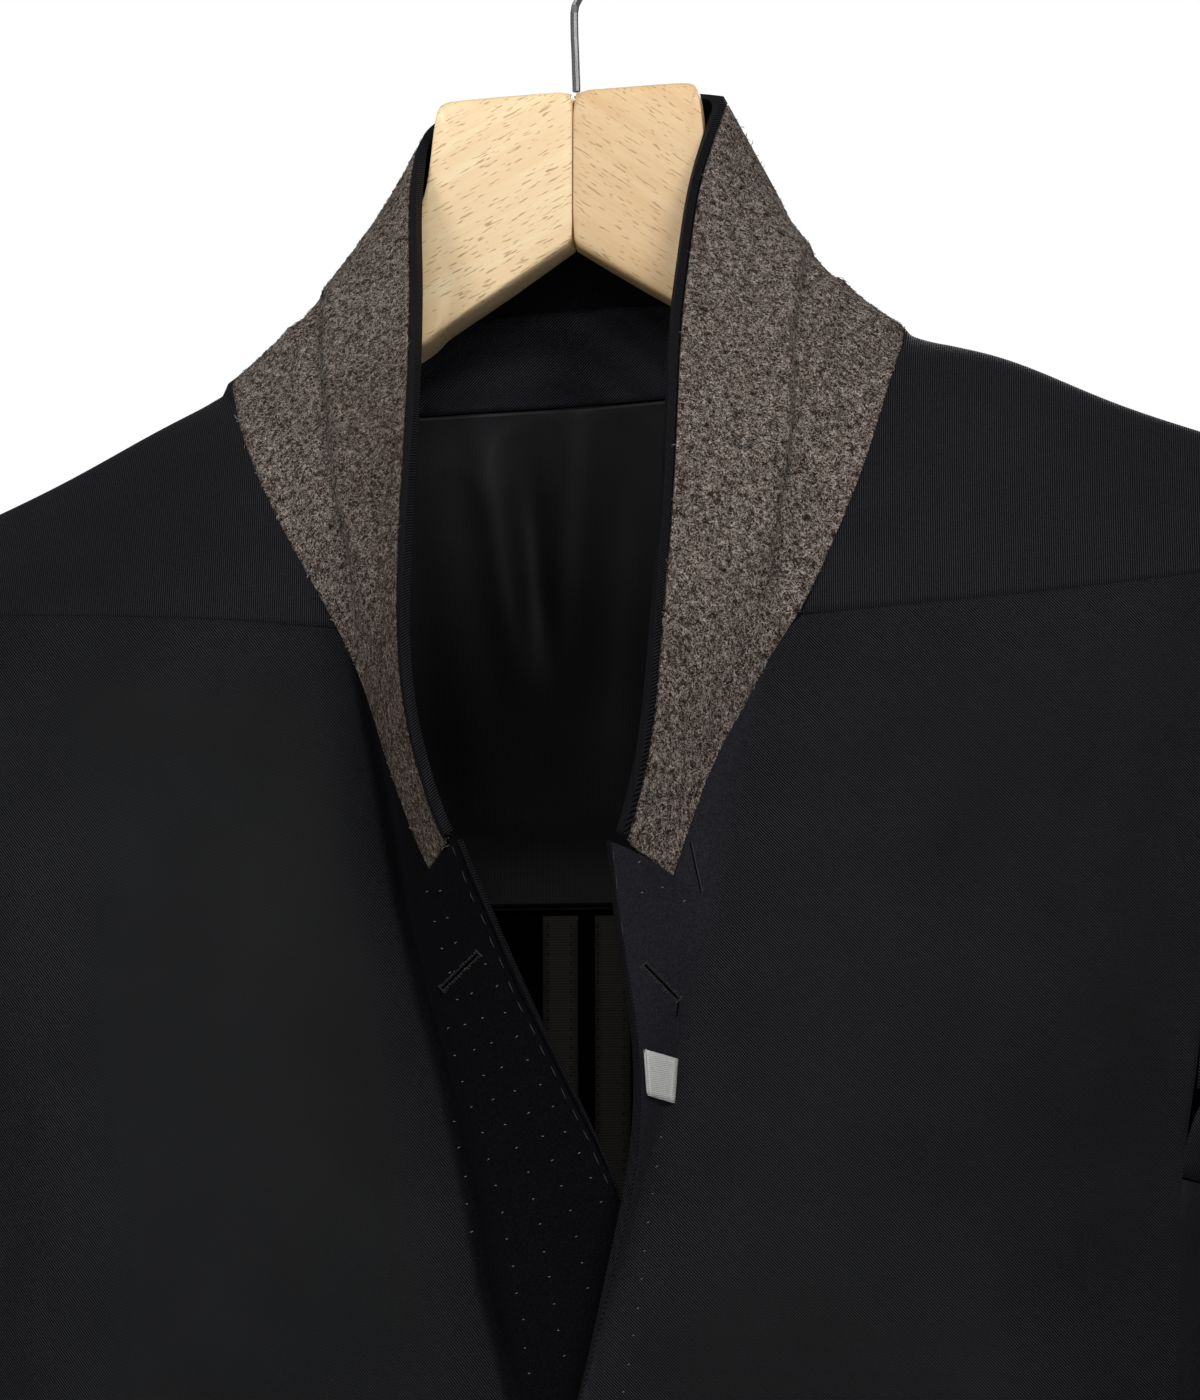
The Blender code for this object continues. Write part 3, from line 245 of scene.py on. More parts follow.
def polishedHorn(name, look):
    made, tree, shader, place = startMaterial(name, {
        "Roughness": 0.28, "Coat Weight": 0.3, "Coat Roughness": 0.15})
    cloud = noise(tree, place, 160.0, 4.0, 0.6, (1.0, 1.0, 2.4))
    colour = mixed(tree, ramp(tree, cloud, 0.4, 0.75), look["dark"], look["light"])
    tree.links.new(colour, shader.inputs["Base Color"])
    bump(tree, shader, noise(tree, place, 900.0, 2.0), 0.00004, 0.4)
    return made


def plainThread(name, look):
    made, tree, shader, place = startMaterial(name, {
        "Roughness": look["rough"], "Sheen Weight": look.get("sheen", 0.1), "Sheen Roughness": 0.4,
        "Specular IOR Level": look.get("gloss", 0.3)})
    yarn = noise(tree, place, 2600.0, 2.0)
    tree.links.new(mixed(tree, yarn, look["dark"], look["light"]), shader.inputs["Base Color"])
    bump(tree, shader, yarn, 0.00012, 0.7)
    return made


def steelRod(name):
    made, tree, shader, place = startMaterial(name, {"Metallic": 1.0, "Base Color": (0.30, 0.30, 0.31, 1.0)})
    streak = noise(tree, place, 500.0, 3.0, 0.6, (1.0, 1.0, 0.08))
    tree.links.new(ramp(tree, streak, 0.2, 0.8, 0.16, 0.34), shader.inputs["Roughness"])
    bump(tree, shader, streak, 0.00003, 0.4)
    return made


# The lapel colours below darken the left lapel as painted shade; the right lapel's are its smoother, bluer
# face.
twill = {
    "dark": (0.0006, 0.0006, 0.0009), "light": (0.048, 0.048, 0.055), "pitch": 0.00072, "relief": 0.0003,
    "sheen": 0.01, "smooth": 0.5, "direction": (0.79, 0.0, 0.62), "across": (0.7, 0.2, -0.68),
    "lapelDark": (0.0006, 0.0006, 0.0009), "lapelLight": (0.0034, 0.0034, 0.0046), "lapelRough": 0.95}
leftTwill = woolTwill("leftTwill", twill)
# Painted shade: the right front's twill is a darker copy of the left's, standing in for the right side getting
# less light; its weave runs at another angle and its lapel colours differ.
rightTwill = woolTwill("rightTwill", {
    **twill, "light": (0.041, 0.041, 0.048), "direction": (0.72, 0.0, 0.69), "lapelRough": 0.7,
    "lapelDark": (0.0065, 0.0064, 0.0086), "lapelLight": (0.018, 0.0178, 0.0226)})
sleeveTwill = woolTwill("sleeveTwill", {**twill, "direction": (0.62, 0.42, 0.66), "across": (0.6, 0.4, -0.7)})
backTwill = woolTwill("backTwill", {
    **twill, "dark": (0.0035, 0.0035, 0.0045), "light": (0.034, 0.034, 0.040), "direction": (1.0, 0.0, 0.03),
    "across": (0.03, 0.3, 1.0)})
facingTwill = woolTwill("facingTwill", {
    **twill, "light": (0.026, 0.026, 0.032), "direction": (0.75, -0.3, -0.6)})
# Painted light: the back facing inside the neck uses a lighter copy of the twill, standing in for light
# reaching into the neck.
neckTwill = woolTwill("neckTwill", {
    **twill, "dark": (0.008, 0.008, 0.0100), "light": (0.085, 0.083, 0.102), "direction": (0.72, 0.0, -0.69)})
# Painted shade: a near-black cloth for the back's inward faces low down, where the inside of the jacket lies in
# shade.
insideCloth = plainThread("insideCloth", {
    "dark": (0.0004, 0.0004, 0.0005), "light": (0.0016, 0.0016, 0.002), "rough": 0.95,
    "sheen": 0.0, "gloss": 0.03})
melton = meltonFelt("melton", {
    "dark": (0.008, 0.0040, 0.0026), "brown": (0.038, 0.022, 0.0150), "olive": (0.034, 0.021, 0.0115),
    "gap": (0.0018, 0.0009, 0.0006), "pale": (0.54, 0.455, 0.40), "sheen": 0.01,
    "innerBrown": (0.026, 0.0145, 0.0075), "innerPale": 0.5,
    "fibres": (
        (760.0, (0.3, 0.4, 0.2), (1, 1, 1), 0.9),
        (1080.0, (0.9, 0.1, 0.7), (1, 1, 0.6), 0.75),
        (920.0, (0.2, 1.1, 1.5), (0.6, 1, 1), 0.7),
        (1300.0, (1.2, 0.5, 0.1), (1, 1, 1), 0.6))})
# Painted shade: the deep colour is the near black the lining turns to towards its bottom.
liningSatin = satin("liningSatin", {"colour": (0.017, 0.017, 0.0195), "deep": (0.0002, 0.0002, 0.0002)})
tapeRib = ribbedTape("tapeRib", {
    "dark": (0.010, 0.009, 0.006), "light": (0.052, 0.047, 0.036), "pitch": 0.00095})
tabWeave = ribbedTape("tabWeave", {"dark": (0.34, 0.34, 0.33), "light": (0.74, 0.74, 0.72), "pitch": 0.0006})
beechLook = {"pale": (1.0, 0.80, 0.48), "warm": (0.93, 0.65, 0.36), "fleck": (0.46, 0.27, 0.13)}
beechLeft = beechWood("beechLeft", {**beechLook, "turn": math.radians(28)})
# Painted shade: the right wing uses a darker copy of the beech colours, standing in for it catching less light;
# its grain runs the other way.
beechRight = beechWood("beechRight", {
    **beechLook, "pale": (0.87, 0.625, 0.35), "warm": (0.77, 0.495, 0.247), "turn": math.radians(-35)})
horn = polishedHorn("horn", {"dark": (0.006, 0.005, 0.005), "light": (0.045, 0.032, 0.022)})
darkThread = plainThread("darkThread", {
    "dark": (0.004, 0.004, 0.005), "light": (0.05, 0.052, 0.062), "rough": 0.6})
# Near-black thread: real stitches on the tapes, and painted shade in the lapel edge lines, buttonhole cuts and
# dart seam.
blackThread = plainThread("blackThread", {
    "dark": (0.0003, 0.0003, 0.0003), "light": (0.002, 0.002, 0.002), "rough": 0.9,
    "sheen": 0.0, "gloss": 0.02})
paleThread = plainThread("paleThread", {
    "dark": (0.42, 0.42, 0.41), "light": (0.66, 0.66, 0.64), "rough": 0.6})
dashThread = plainThread("dashThread", {
    "dark": (0.010, 0.010, 0.013), "light": (0.050, 0.050, 0.062), "rough": 0.7})
whipThread = plainThread("whipThread", {
    "dark": (0.004, 0.004, 0.004), "light": (0.035, 0.034, 0.034), "rough": 0.7})
padThread = plainThread("padThread", {
    "dark": (0.09, 0.09, 0.09), "light": (0.24, 0.24, 0.25), "rough": 0.7})
paleFibre = plainThread("paleFibre", {
    "dark": (0.09, 0.072, 0.062), "light": (0.38, 0.34, 0.31), "rough": 0.85, "gloss": 0.1})
brownFibre = plainThread("brownFibre", {
    "dark": (0.008, 0.004, 0.003), "light": (0.055, 0.032, 0.022), "rough": 0.9, "gloss": 0.05})
steel = steelRod("steel")
print("materials made")


# Soft folds across the panels, in millimetres: each runs from one place to another on the front or the back.
foldLook = {"front": -30.0, "back": 5.0, "fade": 22.0}
folds = (
    ("front", (196, -290), (176, -455), 13, 1.6),
    ("front", (150, -300), (140, -470), 12, -1.1),
    ("front", (118, -330), (112, -520), 11, 1.0),
    ("front", (-186, -300), (-160, -455), 13, 1.4),
    ("front", (-136, -330), (-120, -480), 11, -0.9),
    ("front", (90, -560), (150, -720), 20, -1.2),
    ("front", (-90, -560), (-150, -720), 20, -1.2),
    ("back", (-170, -300), (-120, -430), 15, 2.2),
    ("back", (176, -290), (128, -420), 15, 2.0),
    ("back", (-60, -250), (-20, -330), 18, -1.0),
    ("back", (70, -420), (90, -640), 18, 1.4),
    ("back", (-80, -440), (-96, -660), 18, 1.3),
    ("back", (0, -180), (4, -240), 16, 0.9),
)
# The lining's own soft folds, seen through the neck.
liningFolds = (
    ((-34, -190), (-22, -268), 7, -2.6),
    ((-20, -200), (-16, -262), 6, 2.2),
    ((0, -176), (-6, -262), 8, -2.4),
    ((18, -196), (10, -290), 9, 1.8),
    ((40, -190), (34, -300), 9, -1.6),
    ((-62, -210), (-50, -320), 10, 1.6),
    ((70, -220), (60, -310), 11, 1.4),
)


# Creases that the photograph's frame shows. Each line is in its pixels, on a plane that far from the hook.
# Wide is how far the trough reaches to the left and to the right of the line.
leftRoll = (
    (352, 650), (372, 745), (400, 896), (423, 991), (450, 1087),
    (476, 1202), (488, 1278), (503, 1336), (530, 1440))
rightRoll = (
    (760, 655), (742, 738), (730, 802), (714, 900), (690, 1000),
    (678, 1064), (650, 1163), (622, 1281), (594, 1400))
creases = (
    {"line": leftRoll,
     "plane": -112, "push": (0, 3.0, 0), "wide": (24, 4), "start": 0.5},
    {"line": leftRoll,
     "plane": -112, "push": (0, 2.6, 0), "wide": (3.2, 2.2), "start": 0.5},
    {"line": rightRoll,
     "plane": -118, "push": (0, 1.6, 0), "wide": (5, 7), "start": 0.5},
    {"line": ((318, 299), (316, 331), (316, 372), (320, 401), (329, 494),
              (337, 530), (343, 556), (347, 591), (354, 650)),
     "collar": True, "front": 8.0, "plane": -25, "push": (1.4, 2.2, -0.6), "wide": (5, 2.2), "start": 1.0},
    {"line": ((330, 296), (328, 331), (328, 372), (333, 401), (341, 494),
              (349, 530), (356, 560), (361, 600), (366, 640)),
     "collar": True, "front": 8.0, "plane": -25, "push": (-0.8, -1.4, 0.4), "wide": (3.5, 7), "start": 1.0},
    {"line": ((306, 322), (278, 352), (250, 380), (226, 400)),
     "collar": True, "front": 8.0, "plane": -25, "push": (-1.6, -0.3, 2.8), "wide": (12, 12), "start": 0.2},
    {"line": ((812, 252), (809, 262), (806, 290), (799, 338), (800, 380),
              (799, 424), (793, 470), (784, 520), (768, 640)),
     "collar": True, "front": 8.0, "plane": -16, "push": (-1.8, 1.6, -1.2), "wide": (2.2, 5), "start": 1.0},
    {"line": ((798, 240), (796, 262), (793, 300), (787, 338), (788, 380),
              (787, 424), (781, 470), (772, 520), (762, 600)),
     "collar": True, "front": 8.0, "plane": -16, "push": (0.9, -1.3, 0.5), "wide": (7, 3.5), "start": 1.0},
    {"line": ((822, 276), (848, 302), (874, 322), (902, 344)),
     "collar": True, "front": 8.0, "plane": -14, "push": (1.7, -0.3, 2.8), "wide": (12, 12), "start": 0.2},
)
# Where a crease starts to show from behind, how fast it fades in, and the height that none goes below.
sideways = {"front": -20.0, "fade": 24.0, "behind": 10.0, "low": -620.0, "near": 80.0, "far": 3.0}


def treeOf(mesh):
    return BVHTree.FromPolygons([vert.co for vert in mesh.vertices], [face.vertices for face in mesh.polygons])


def onPlane(across, down, plane):
    aim = rayAt(across, down)
    hit = eye + aim * ((plane * mm - eye.y) / aim.y)
    return Vector((hit.x, hit.z)) / mm


collarMesh = nodes["undercollar"].data
collarTree = treeOf(collarMesh)


def onCollar(across, down, plane):
    hit = collarTree.ray_cast(eye, rayAt(across, down))[0]
    return Vector((hit.x, hit.z)) / mm if hit else onPlane(across, down, plane)


for crease in creases:
    find = onCollar if crease.get("collar") else onPlane
    crease["route"] = [find(x, y, crease["plane"]) for x, y in crease["line"]]
    crease["span"] = (min(spot.x for spot in crease["route"]), max(spot.x for spot in crease["route"]))


def alongRoute(route, flat):
    best = None
    for i, (start, end) in enumerate(zip(route, route[1:])):
        along = end - start
        held = max(0.0, min(1.0, (flat - start).dot(along) / along.length_squared))
        off = flat - (start + along * held)
        if best is None or off.length < best[0]:
            # The lines run down, so the first side is the one on the left of the picture.
            side = 0 if along.x * off.y - along.y * off.x < 0 else 1
            best = (off.length, side, (i + held) / (len(route) - 1))
    return best


def creasePush(spot):
    total = Vector()
    if spot.y > sideways["behind"] or spot.z < sideways["low"]:
        return total
    flat = Vector((spot.x, spot.z))
    for crease in creases:
        low, high = crease["span"]
        shown = max(0.0, min(1.0, (crease.get("front", sideways["front"]) - spot.y) / sideways["fade"]))
        if not shown or not low - sideways["near"] < flat.x < high + sideways["near"]:
            continue
        far, side, part = alongRoute(crease["route"], flat)
        reach = crease["wide"][side]
        if far > sideways["far"] * reach:
            continue
        taper = max(0.0, min(1.0, part / 0.18 + crease["start"])) * max(0.0, min(1.0, (1 - part) / 0.12))
        shape = math.exp(-((far / reach) ** 1.5))
        total += Vector(crease["push"]) * (shape * taper * shown)
    return total


rolls = {"left": creases[0]["route"], "right": creases[2]["route"]}
# How near the roll line the mesh is made finer; and per side, in mm across the roll line, where the lapel
# colour starts and is full, how far before the line the front gets painted shade, and how much of the lapel
# colour that shade reaches.
rollLook = {"fine": 7.5, "left": (-7.5, -2.0, 60.0, 0.5), "right": (-3.0, 4.0, 12.0, 0.18)}


def refineRoll(mesh, side):
    shape = bmesh.new()
    shape.from_mesh(mesh)
    near = {vert for vert in shape.verts
            if sideways["low"] * mm < vert.co.z and vert.co.y < -60 * mm
            and alongRoute(rolls[side], Vector((vert.co.x, vert.co.z)) / mm)[0] < rollLook["fine"]}
    edges = [edge for edge in shape.edges if edge.verts[0] in near and edge.verts[1] in near]
    bmesh.ops.subdivide_edges(shape, edges=edges, cuts=2, use_grid_fill=True)
    shape.to_mesh(mesh)
    shape.free()


# Painted shade: this attribute sets where the lapel colour is mixed in, and carries part of it onto the front
# just before the roll crease.
def paintLapelAndRollShade(mesh, side):
    paint = mesh.attributes.new("lapel", "FLOAT", "POINT")
    low, high, soft, near = rollLook[side]
    for vert, value in zip(mesh.vertices, paint.data):
        spot = vert.co / mm
        far, where, part = alongRoute(rolls[side], Vector((spot.x, spot.z)))
        inside = far if (where == 1) == (side == "left") else -far
        turned = max(0.0, min(1.0, (inside - low) / (high - low)))
        before = max(0.0, min(1.0, (inside + soft) / soft))
        share = max(near * before * before, turned * turned * (3 - 2 * turned))
        value.value = share * max(0.0, min(1.0, (spot.z + 650) / 90))


# How far past the left collar's crease the painted shade on its inner part begins, where the shade is full, and
# how low it starts.
innerShadeLook = {"start": -2.0, "full": 12.0, "top": -165.0, "fade": 40.0}


def paintInnerShade(mesh):
    paint = mesh.attributes.new("inner", "FLOAT", "POINT")
    for vert, value in zip(mesh.vertices, paint.data):
        spot = vert.co / mm
        if spot.x > 0:
            continue
        far, side, part = alongRoute(creases[3]["route"], Vector((spot.x, spot.z)))
        inside = far if side == 1 else -far
        share = max(0.0, min(1.0, (inside - innerShadeLook["start"]) / (innerShadeLook["full"] - innerShadeLook["start"])))
        value.value = share * max(0.0, min(1.0, (innerShadeLook["top"] - spot.z) / innerShadeLook["fade"]))


def foldHeight(flat, fold):
    start, end, width, height = fold
    along = Vector((end[0] - start[0], end[1] - start[1]))
    away = flat - Vector(start)
    part = away.dot(along) / along.length_squared
    off = (away - along * part).length / width
    if off > 3 or part < -0.3 or part > 1.3:
        return 0.0
    taper = max(0.0, min(1.0, (part + 0.3) / 0.6)) * max(0.0, min(1.0, (1.3 - part) / 0.6))
    return height * taper * taper * (3 - 2 * taper) * math.exp(-off * off)


def liningPush(place):
    spot = place / mm
    edge = min(1.0, max(0.0, (-168 - spot.z) / 14)) * min(1.0, max(0.0, (spot.z + 343) / 14))
    rise = 7.0 * max(0.0, min(1.0, (-322 - spot.z) / 22)) * mm
    flat = Vector((spot.x, spot.z))
    return Vector((0, sum(foldHeight(flat, fold) for fold in liningFolds) * edge * mm, rise))


def softPush(place):
    spot = place / mm
    total = creasePush(spot)
    for side, *fold in folds:
        sign = -1 if side == "front" else 1
        shown = (foldLook["front"] - spot.y) if side == "front" else (spot.y - foldLook["back"])
        shown = max(0.0, min(1.0, shown / foldLook["fade"]))
        if not shown:
            continue
        total.y += sign * shown * foldHeight(Vector((spot.x, spot.z)), fold)
    return total * mm


def control(name):
    shape = bmesh.new()
    shape.from_mesh(nodes[name].data)
    bmesh.ops.remove_doubles(shape, verts=shape.verts, dist=0.02 * mm)
    bmesh.ops.join_triangles(
        shape, faces=shape.faces[:],
        angle_face_threshold=math.radians(50), angle_shape_threshold=math.radians(120))
    return shape


def rimOf(shape, angle):
    sharp = math.radians(angle)
    return [edge for edge in shape.edges if len(edge.link_faces) != 2 or edge.calc_face_angle(0.0) > sharp]


# Pieces that are sewn edge to edge: their edges are drawn together where they lie this close.
sewn = {
    "front_left": ("back_left", "side_left", "undercollar"),
    "front_right": ("back_right", "side_right", "undercollar"),
    "back_left": ("front_left", "side_left", "back_right", "undercollar"),
    "back_right": ("front_right", "side_right", "back_left", "undercollar"),
    "side_left": ("front_left", "back_left"),
    "side_right": ("front_right", "back_right"),
    "sleeve_upper_left": ("sleeve_under_left", "front_left", "back_left"),
    "sleeve_under_left": ("sleeve_upper_left", "front_left", "back_left", "side_left"),
    "sleeve_upper_right": ("sleeve_under_right", "front_right", "back_right"),
    "sleeve_under_right": ("sleeve_upper_right", "front_right", "back_right", "side_right"),
    "undercollar": ("front_left", "front_right", "back_left", "back_right"),
    "top_collar": ("back_facing",),
    "facing_left": (),
    "facing_right": (),
    "flap_left": (),
    "flap_right": (),
    "back_facing": ("top_collar",),
    "back_lining": (),
    "tape_left": (),
    "tape_right": (),
    "lapel_tab": (),
}
seams = {"reach": 1.6, "neck": 5.0, "armhole": 3.5, "left": 0.03}
shapes = {name: control(name) for name in sewn}
trees = {name: BVHTree.FromBMesh(shape) for name, shape in shapes.items()}
for name, others in sewn.items():
    rim = {vert for edge in rimOf(shapes[name], 50) for vert in edge.verts}
    sleeve = name.startswith("sleeve")
    reach = seams["neck" if name in ("top_collar", "back_facing") else "armhole" if sleeve else "reach"] * mm
    for vert in rim:
        best = None
        for other in others:
            hit = trees[other].find_nearest(vert.co, reach)
            if hit[0] is not None and (best is None or hit[3] < best[1]):
                best = (hit[0], hit[3], 1.0 if sleeve and not other.startswith("sleeve") else 0.5)
        if best and best[1] > seams["left"] * mm:
            vert.co += (best[0] - vert.co) * (best[2] * (1 - seams["left"] * mm / best[1]))

# The lapel's edge: front and facing are turned in on each other and pressed thin.
pressed = {"reach": 6.5, "share": 0.88, "facing": 0.8}


def nearestOn(segments, spot):
    best = None
    for start, end in segments:
        along = end - start
        part = max(0.0, min(1.0, (spot - start).dot(along) / max(along.length_squared, 1e-12)))
        place = start + along * part
        if best is None or (place - spot).length < (best - spot).length:
            best = place
    return best


for side in ("left", "right"):
    front, facing = shapes["front_" + side], shapes["facing_" + side]
    facingRim = rimOf(facing, 50)
    segments = [(edge.verts[0].co.copy(), edge.verts[1].co.copy()) for edge in facingRim]
    for vert in {vert for edge in rimOf(front, 50) for vert in edge.verts}:
        target = nearestOn(segments, vert.co)
        if (target - vert.co).length < pressed["reach"] * mm:
            vert.co = vert.co.lerp(target, pressed["share"])
    frontTree = BVHTree.FromBMesh(front)
    for vert in {vert for edge in facingRim for vert in edge.verts}:
        hit = frontTree.find_nearest(vert.co, 4 * mm)
        if hit[0] is not None:
            vert.co = vert.co.lerp(hit[0], pressed["facing"])
print("seams drawn together")


def smoothed(name, shape, levels, crease):
    mesh = bpy.data.meshes.new(name)
    layer = shape.edges.layers.float.get("crease_edge") or shape.edges.layers.float.new("crease_edge")
    for edge in rimOf(shape, 50):
        edge[layer] = crease
    shape.to_mesh(mesh)
    rough = bpy.data.objects.new(name + "Rough", mesh)
    bpy.context.scene.collection.objects.link(rough)
    rough.modifiers.new("smooth", "SUBSURF").levels = levels
    rough.modifiers["smooth"].render_levels = levels
    graph = bpy.context.evaluated_depsgraph_get()
    fine = bpy.data.meshes.new_from_object(rough.evaluated_get(graph))
    bpy.data.objects.remove(rough)
    return fine


shells = {}
# Which faces of the back get the painted shade cloth: those turned inward and below this height.
insideShadeLook = {"turned": -0.2, "below": -0.17}


def place(name, mesh, finish, slot=None, replaced=()):
    mesh.materials.clear()
    mesh.materials.append(finish)
    mesh.shade_smooth()
    mesh.set_sharp_from_angle(angle=math.radians(48))
    piece = bpy.data.objects.new(name, mesh)
    bpy.context.scene.collection.objects.link(piece)
    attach(piece, "root")
    if replaced:
        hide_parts(*replaced)
    return piece


def makeShell(name, look):
    mesh = smoothed(name, shapes[name], look["levels"], look.get("crease", 1.0))
    if look.get("roll"):
        refineRoll(mesh, look["roll"])
        paintLapelAndRollShade(mesh, look["roll"])
    if name == "undercollar":
        paintInnerShade(mesh)
    push = look.get("push", softPush)
    for vert in mesh.vertices:
        vert.co += push(vert.co)
    words = name.split("_")
    title = look.get("title") or words[0] + "".join(word.capitalize() for word in words[1:])
    piece = place(title, mesh, look["finish"], look["slot"], (name,))
    # Painted shade: inward-facing faces of the back below the neck get the near-black inside cloth.
    if look.get("inside"):
        mesh.materials.append(look["inside"])
        for face in mesh.polygons:
            low = face.center.z < insideShadeLook["below"]
            if low and face.center.y > 0 and face.normal.y < insideShadeLook["turned"]:
                face.material_index = 1
    shells[name] = piece
    return piece


bodyLook = {"levels": 2, "slot": "jacket_cloth"}
for side in ("left", "right"):
    twillHere = leftTwill if side == "left" else rightTwill
    makeShell("front_" + side, {
        **bodyLook, "levels": 3, "finish": twillHere, "flat": (0.27, 0.70), "roll": side})
    makeShell("facing_" + side, {**bodyLook, "finish": facingTwill, "flat": (0.13, 0.62)})
    makeShell("back_" + side, {
        **bodyLook, "levels": 3, "finish": backTwill, "flat": (0.26, 0.80), "inside": insideCloth})
    makeShell("side_" + side, {**bodyLook, "finish": sleeveTwill, "flat": (0.14, 0.47)})
    makeShell("sleeve_upper_" + side, {**bodyLook, "finish": sleeveTwill, "flat": (0.24, 0.66)})
    makeShell("sleeve_under_" + side, {**bodyLook, "finish": sleeveTwill, "flat": (0.17, 0.48)})
    makeShell("flap_" + side, {**bodyLook, "finish": twillHere, "flat": (0.14, 0.056)})
    makeShell("tape_" + side, {
        "levels": 2, "slot": "binding_tape", "finish": tapeRib, "flat": (0.012, 0.556)})
makeShell("undercollar", {
    "title": "meltonCollar", "levels": 3, "slot": "melton", "finish": melton, "flat": (0.75, 0.11)})
makeShell("top_collar", {**bodyLook, "levels": 3, "finish": facingTwill, "flat": (0.75, 0.11)})
makeShell("back_facing", {**bodyLook, "finish": neckTwill, "flat": (0.19, 0.045)})
makeShell("back_lining", {
    "levels": 3, "slot": "lining_satin", "finish": liningSatin, "flat": (0.32, 0.185), "push": liningPush})
makeShell("lapel_tab", {"levels": 2, "slot": "pale_tab", "finish": tabWeave, "flat": (0.010, 0.016)})
print("cloth made")

for name, finish in (("hanger_left", beechLeft), ("hanger_right", beechRight)):
    shape = control(name)
    mesh = smoothed(name, shape, 3, 0.55)
    title = name.replace("_l", "L").replace("_r", "R")
    shells[name] = place(title, mesh, finish, "beech", (name,))
nodes["hook"].data.materials[0] = steel
print("hanger and hook dressed")

# Places in the photograph's pixels are found on the finished cloth by looking through its camera.
surfaces = {}


def surfaceOf(name):
    if name not in surfaces:
        surfaces[name] = treeOf(shells[name].data)
    return surfaces[name]


def touch(across, down, names):
    best = None
    aim = rayAt(across, down)
    for name in names:
        hit = surfaceOf(name).ray_cast(eye, aim)
        if hit[0] is not None and (best is None or hit[3] < best[2]):
            best = (hit[0], hit[1] if hit[1].dot(aim) < 0 else -hit[1], hit[3])
    return best


class Threads:
    def __init__(self):
        self.places, self.faces = [], []

    def add(self, line, radius, sides=6, thin=0.5):
        first, side = len(self.places), None
        for i, spot in enumerate(line):
            along = (line[min(i + 1, len(line) - 1)] - line[max(i - 1, 0)]).normalized()
            side = along.orthogonal() if side is None else side - along * side.dot(along)
            side.normalize()
            up = along.cross(side)
            size = radius * (thin if i in (0, len(line) - 1) else 1)
            for k in range(sides):
                turn = 2 * math.pi * k / sides
                self.places.append(spot + (side * math.cos(turn) + up * math.sin(turn)) * size)
        for i in range(len(line) - 1):
            for k in range(sides):
                here, there = first + i * sides, first + (i + 1) * sides
                self.faces.append((here + k, here + (k + 1) % sides, there + (k + 1) % sides, there + k))
        last = len(self.places) - sides
        self.faces.append(tuple(range(first + sides - 1, first - 1, -1)))
        self.faces.append(tuple(range(last, last + sides)))

    def finish(self, name, material, slot=None):
        mesh = bpy.data.meshes.new(name)
        mesh.from_pydata(self.places, [], self.faces)
        print(name, "faces", len(self.faces))
        return place(name, mesh, material, slot)


def stitch(group, start, end, names, radius, lift, steps=3, sides=6, sink=0.3):
    line = []
    for i in range(steps + 1):
        part = i / steps
        hit = touch(start[0] + (end[0] - start[0]) * part, start[1] + (end[1] - start[1]) * part, names)
        if hit is None:
            return
        rise = lift * math.sin(math.pi * part) - sink * radius
        line.append(hit[0] + hit[1] * rise)
    group.add(line, radius, sides)


def alongLine(points, pitch, first=0.0):
    steps, gone = [], first
    for start, end in zip(points, points[1:]):
        start, end = Vector(start), Vector(end)
        length = (end - start).length
        while gone <= length:
            steps.append((start + (end - start) * (gone / length), (end - start) / length))
            gone += pitch
        gone -= length
    return steps


def uneven(number, size):
    return size * math.sin(number * 12.9898 + 4.1) * math.cos(number * 3.233)


def trailOf(points, names, pitch, lift):
    hits = [touch(spot.x, spot.y, names) for spot, run in alongLine(points, pitch)]
    return [hit[0] + hit[1] * lift for hit in hits if hit]


# Edge stitching: dashes that follow each lapel's edge, and beside them a near-black line along the pressed
# edge, painted shade of its fold.
lapelEdges = {
    "left": (
        (461, 838), (474, 874), (498, 928), (525, 993), (547, 1035), (571, 1084), (598, 1136), (614, 1172)),
    "right": (
        (604, 846), (607, 897), (613, 936), (618, 999), (623, 1043), (627, 1084), (627, 1121),
        (624, 1162), (619, 1200), (610, 1241), (599, 1284), (586, 1335), (570, 1396)),
}
edgeStitch = {
    "inLeft": -10.5, "inRight": 9.5, "lineLeft": -5.0, "lineRight": 4.6,
    "pitch": 24.0, "long": 12.0, "radius": 0.00013, "lift": 0.00022}


def movedIn(points, distance):
    moved = []
    for i, spot in enumerate(points):
        run = (Vector(points[min(i + 1, len(points) - 1)]) - Vector(points[max(i - 1, 0)])).normalized()
        # Down the picture, a positive distance goes to the right of the line.
        moved.append(Vector(spot) + Vector((run.y, -run.x)) * distance)
    return moved


dashes, edgeShadeLine = Threads(), Threads()
for side, points in lapelEdges.items():
    into = edgeStitch["inLeft"] if side == "left" else edgeStitch["inRight"]
    for number, (spot, run) in enumerate(alongLine(movedIn(points, into), edgeStitch["pitch"], 6.0)):
        shift = Vector((uneven(number, 0.8), uneven(number + 40, 1.5)))
        length = edgeStitch["long"] + uneven(number + 9, 2.5)
        start, end = spot + shift, spot + shift + run * length
        stitch(dashes, start, end, ["front_" + side], edgeStitch["radius"], edgeStitch["lift"], 4)
    into = edgeStitch["lineLeft"] if side == "left" else edgeStitch["lineRight"]
    line = trailOf(movedIn(points, into), ["front_" + side], 6.0, 0.00004)
    if len(line) > 3:
        edgeShadeLine.add(line, 0.00024, 6)
dashes.finish("edgeStitches", dashThread)
edgeShadeLine.finish("edgeLines", blackThread)

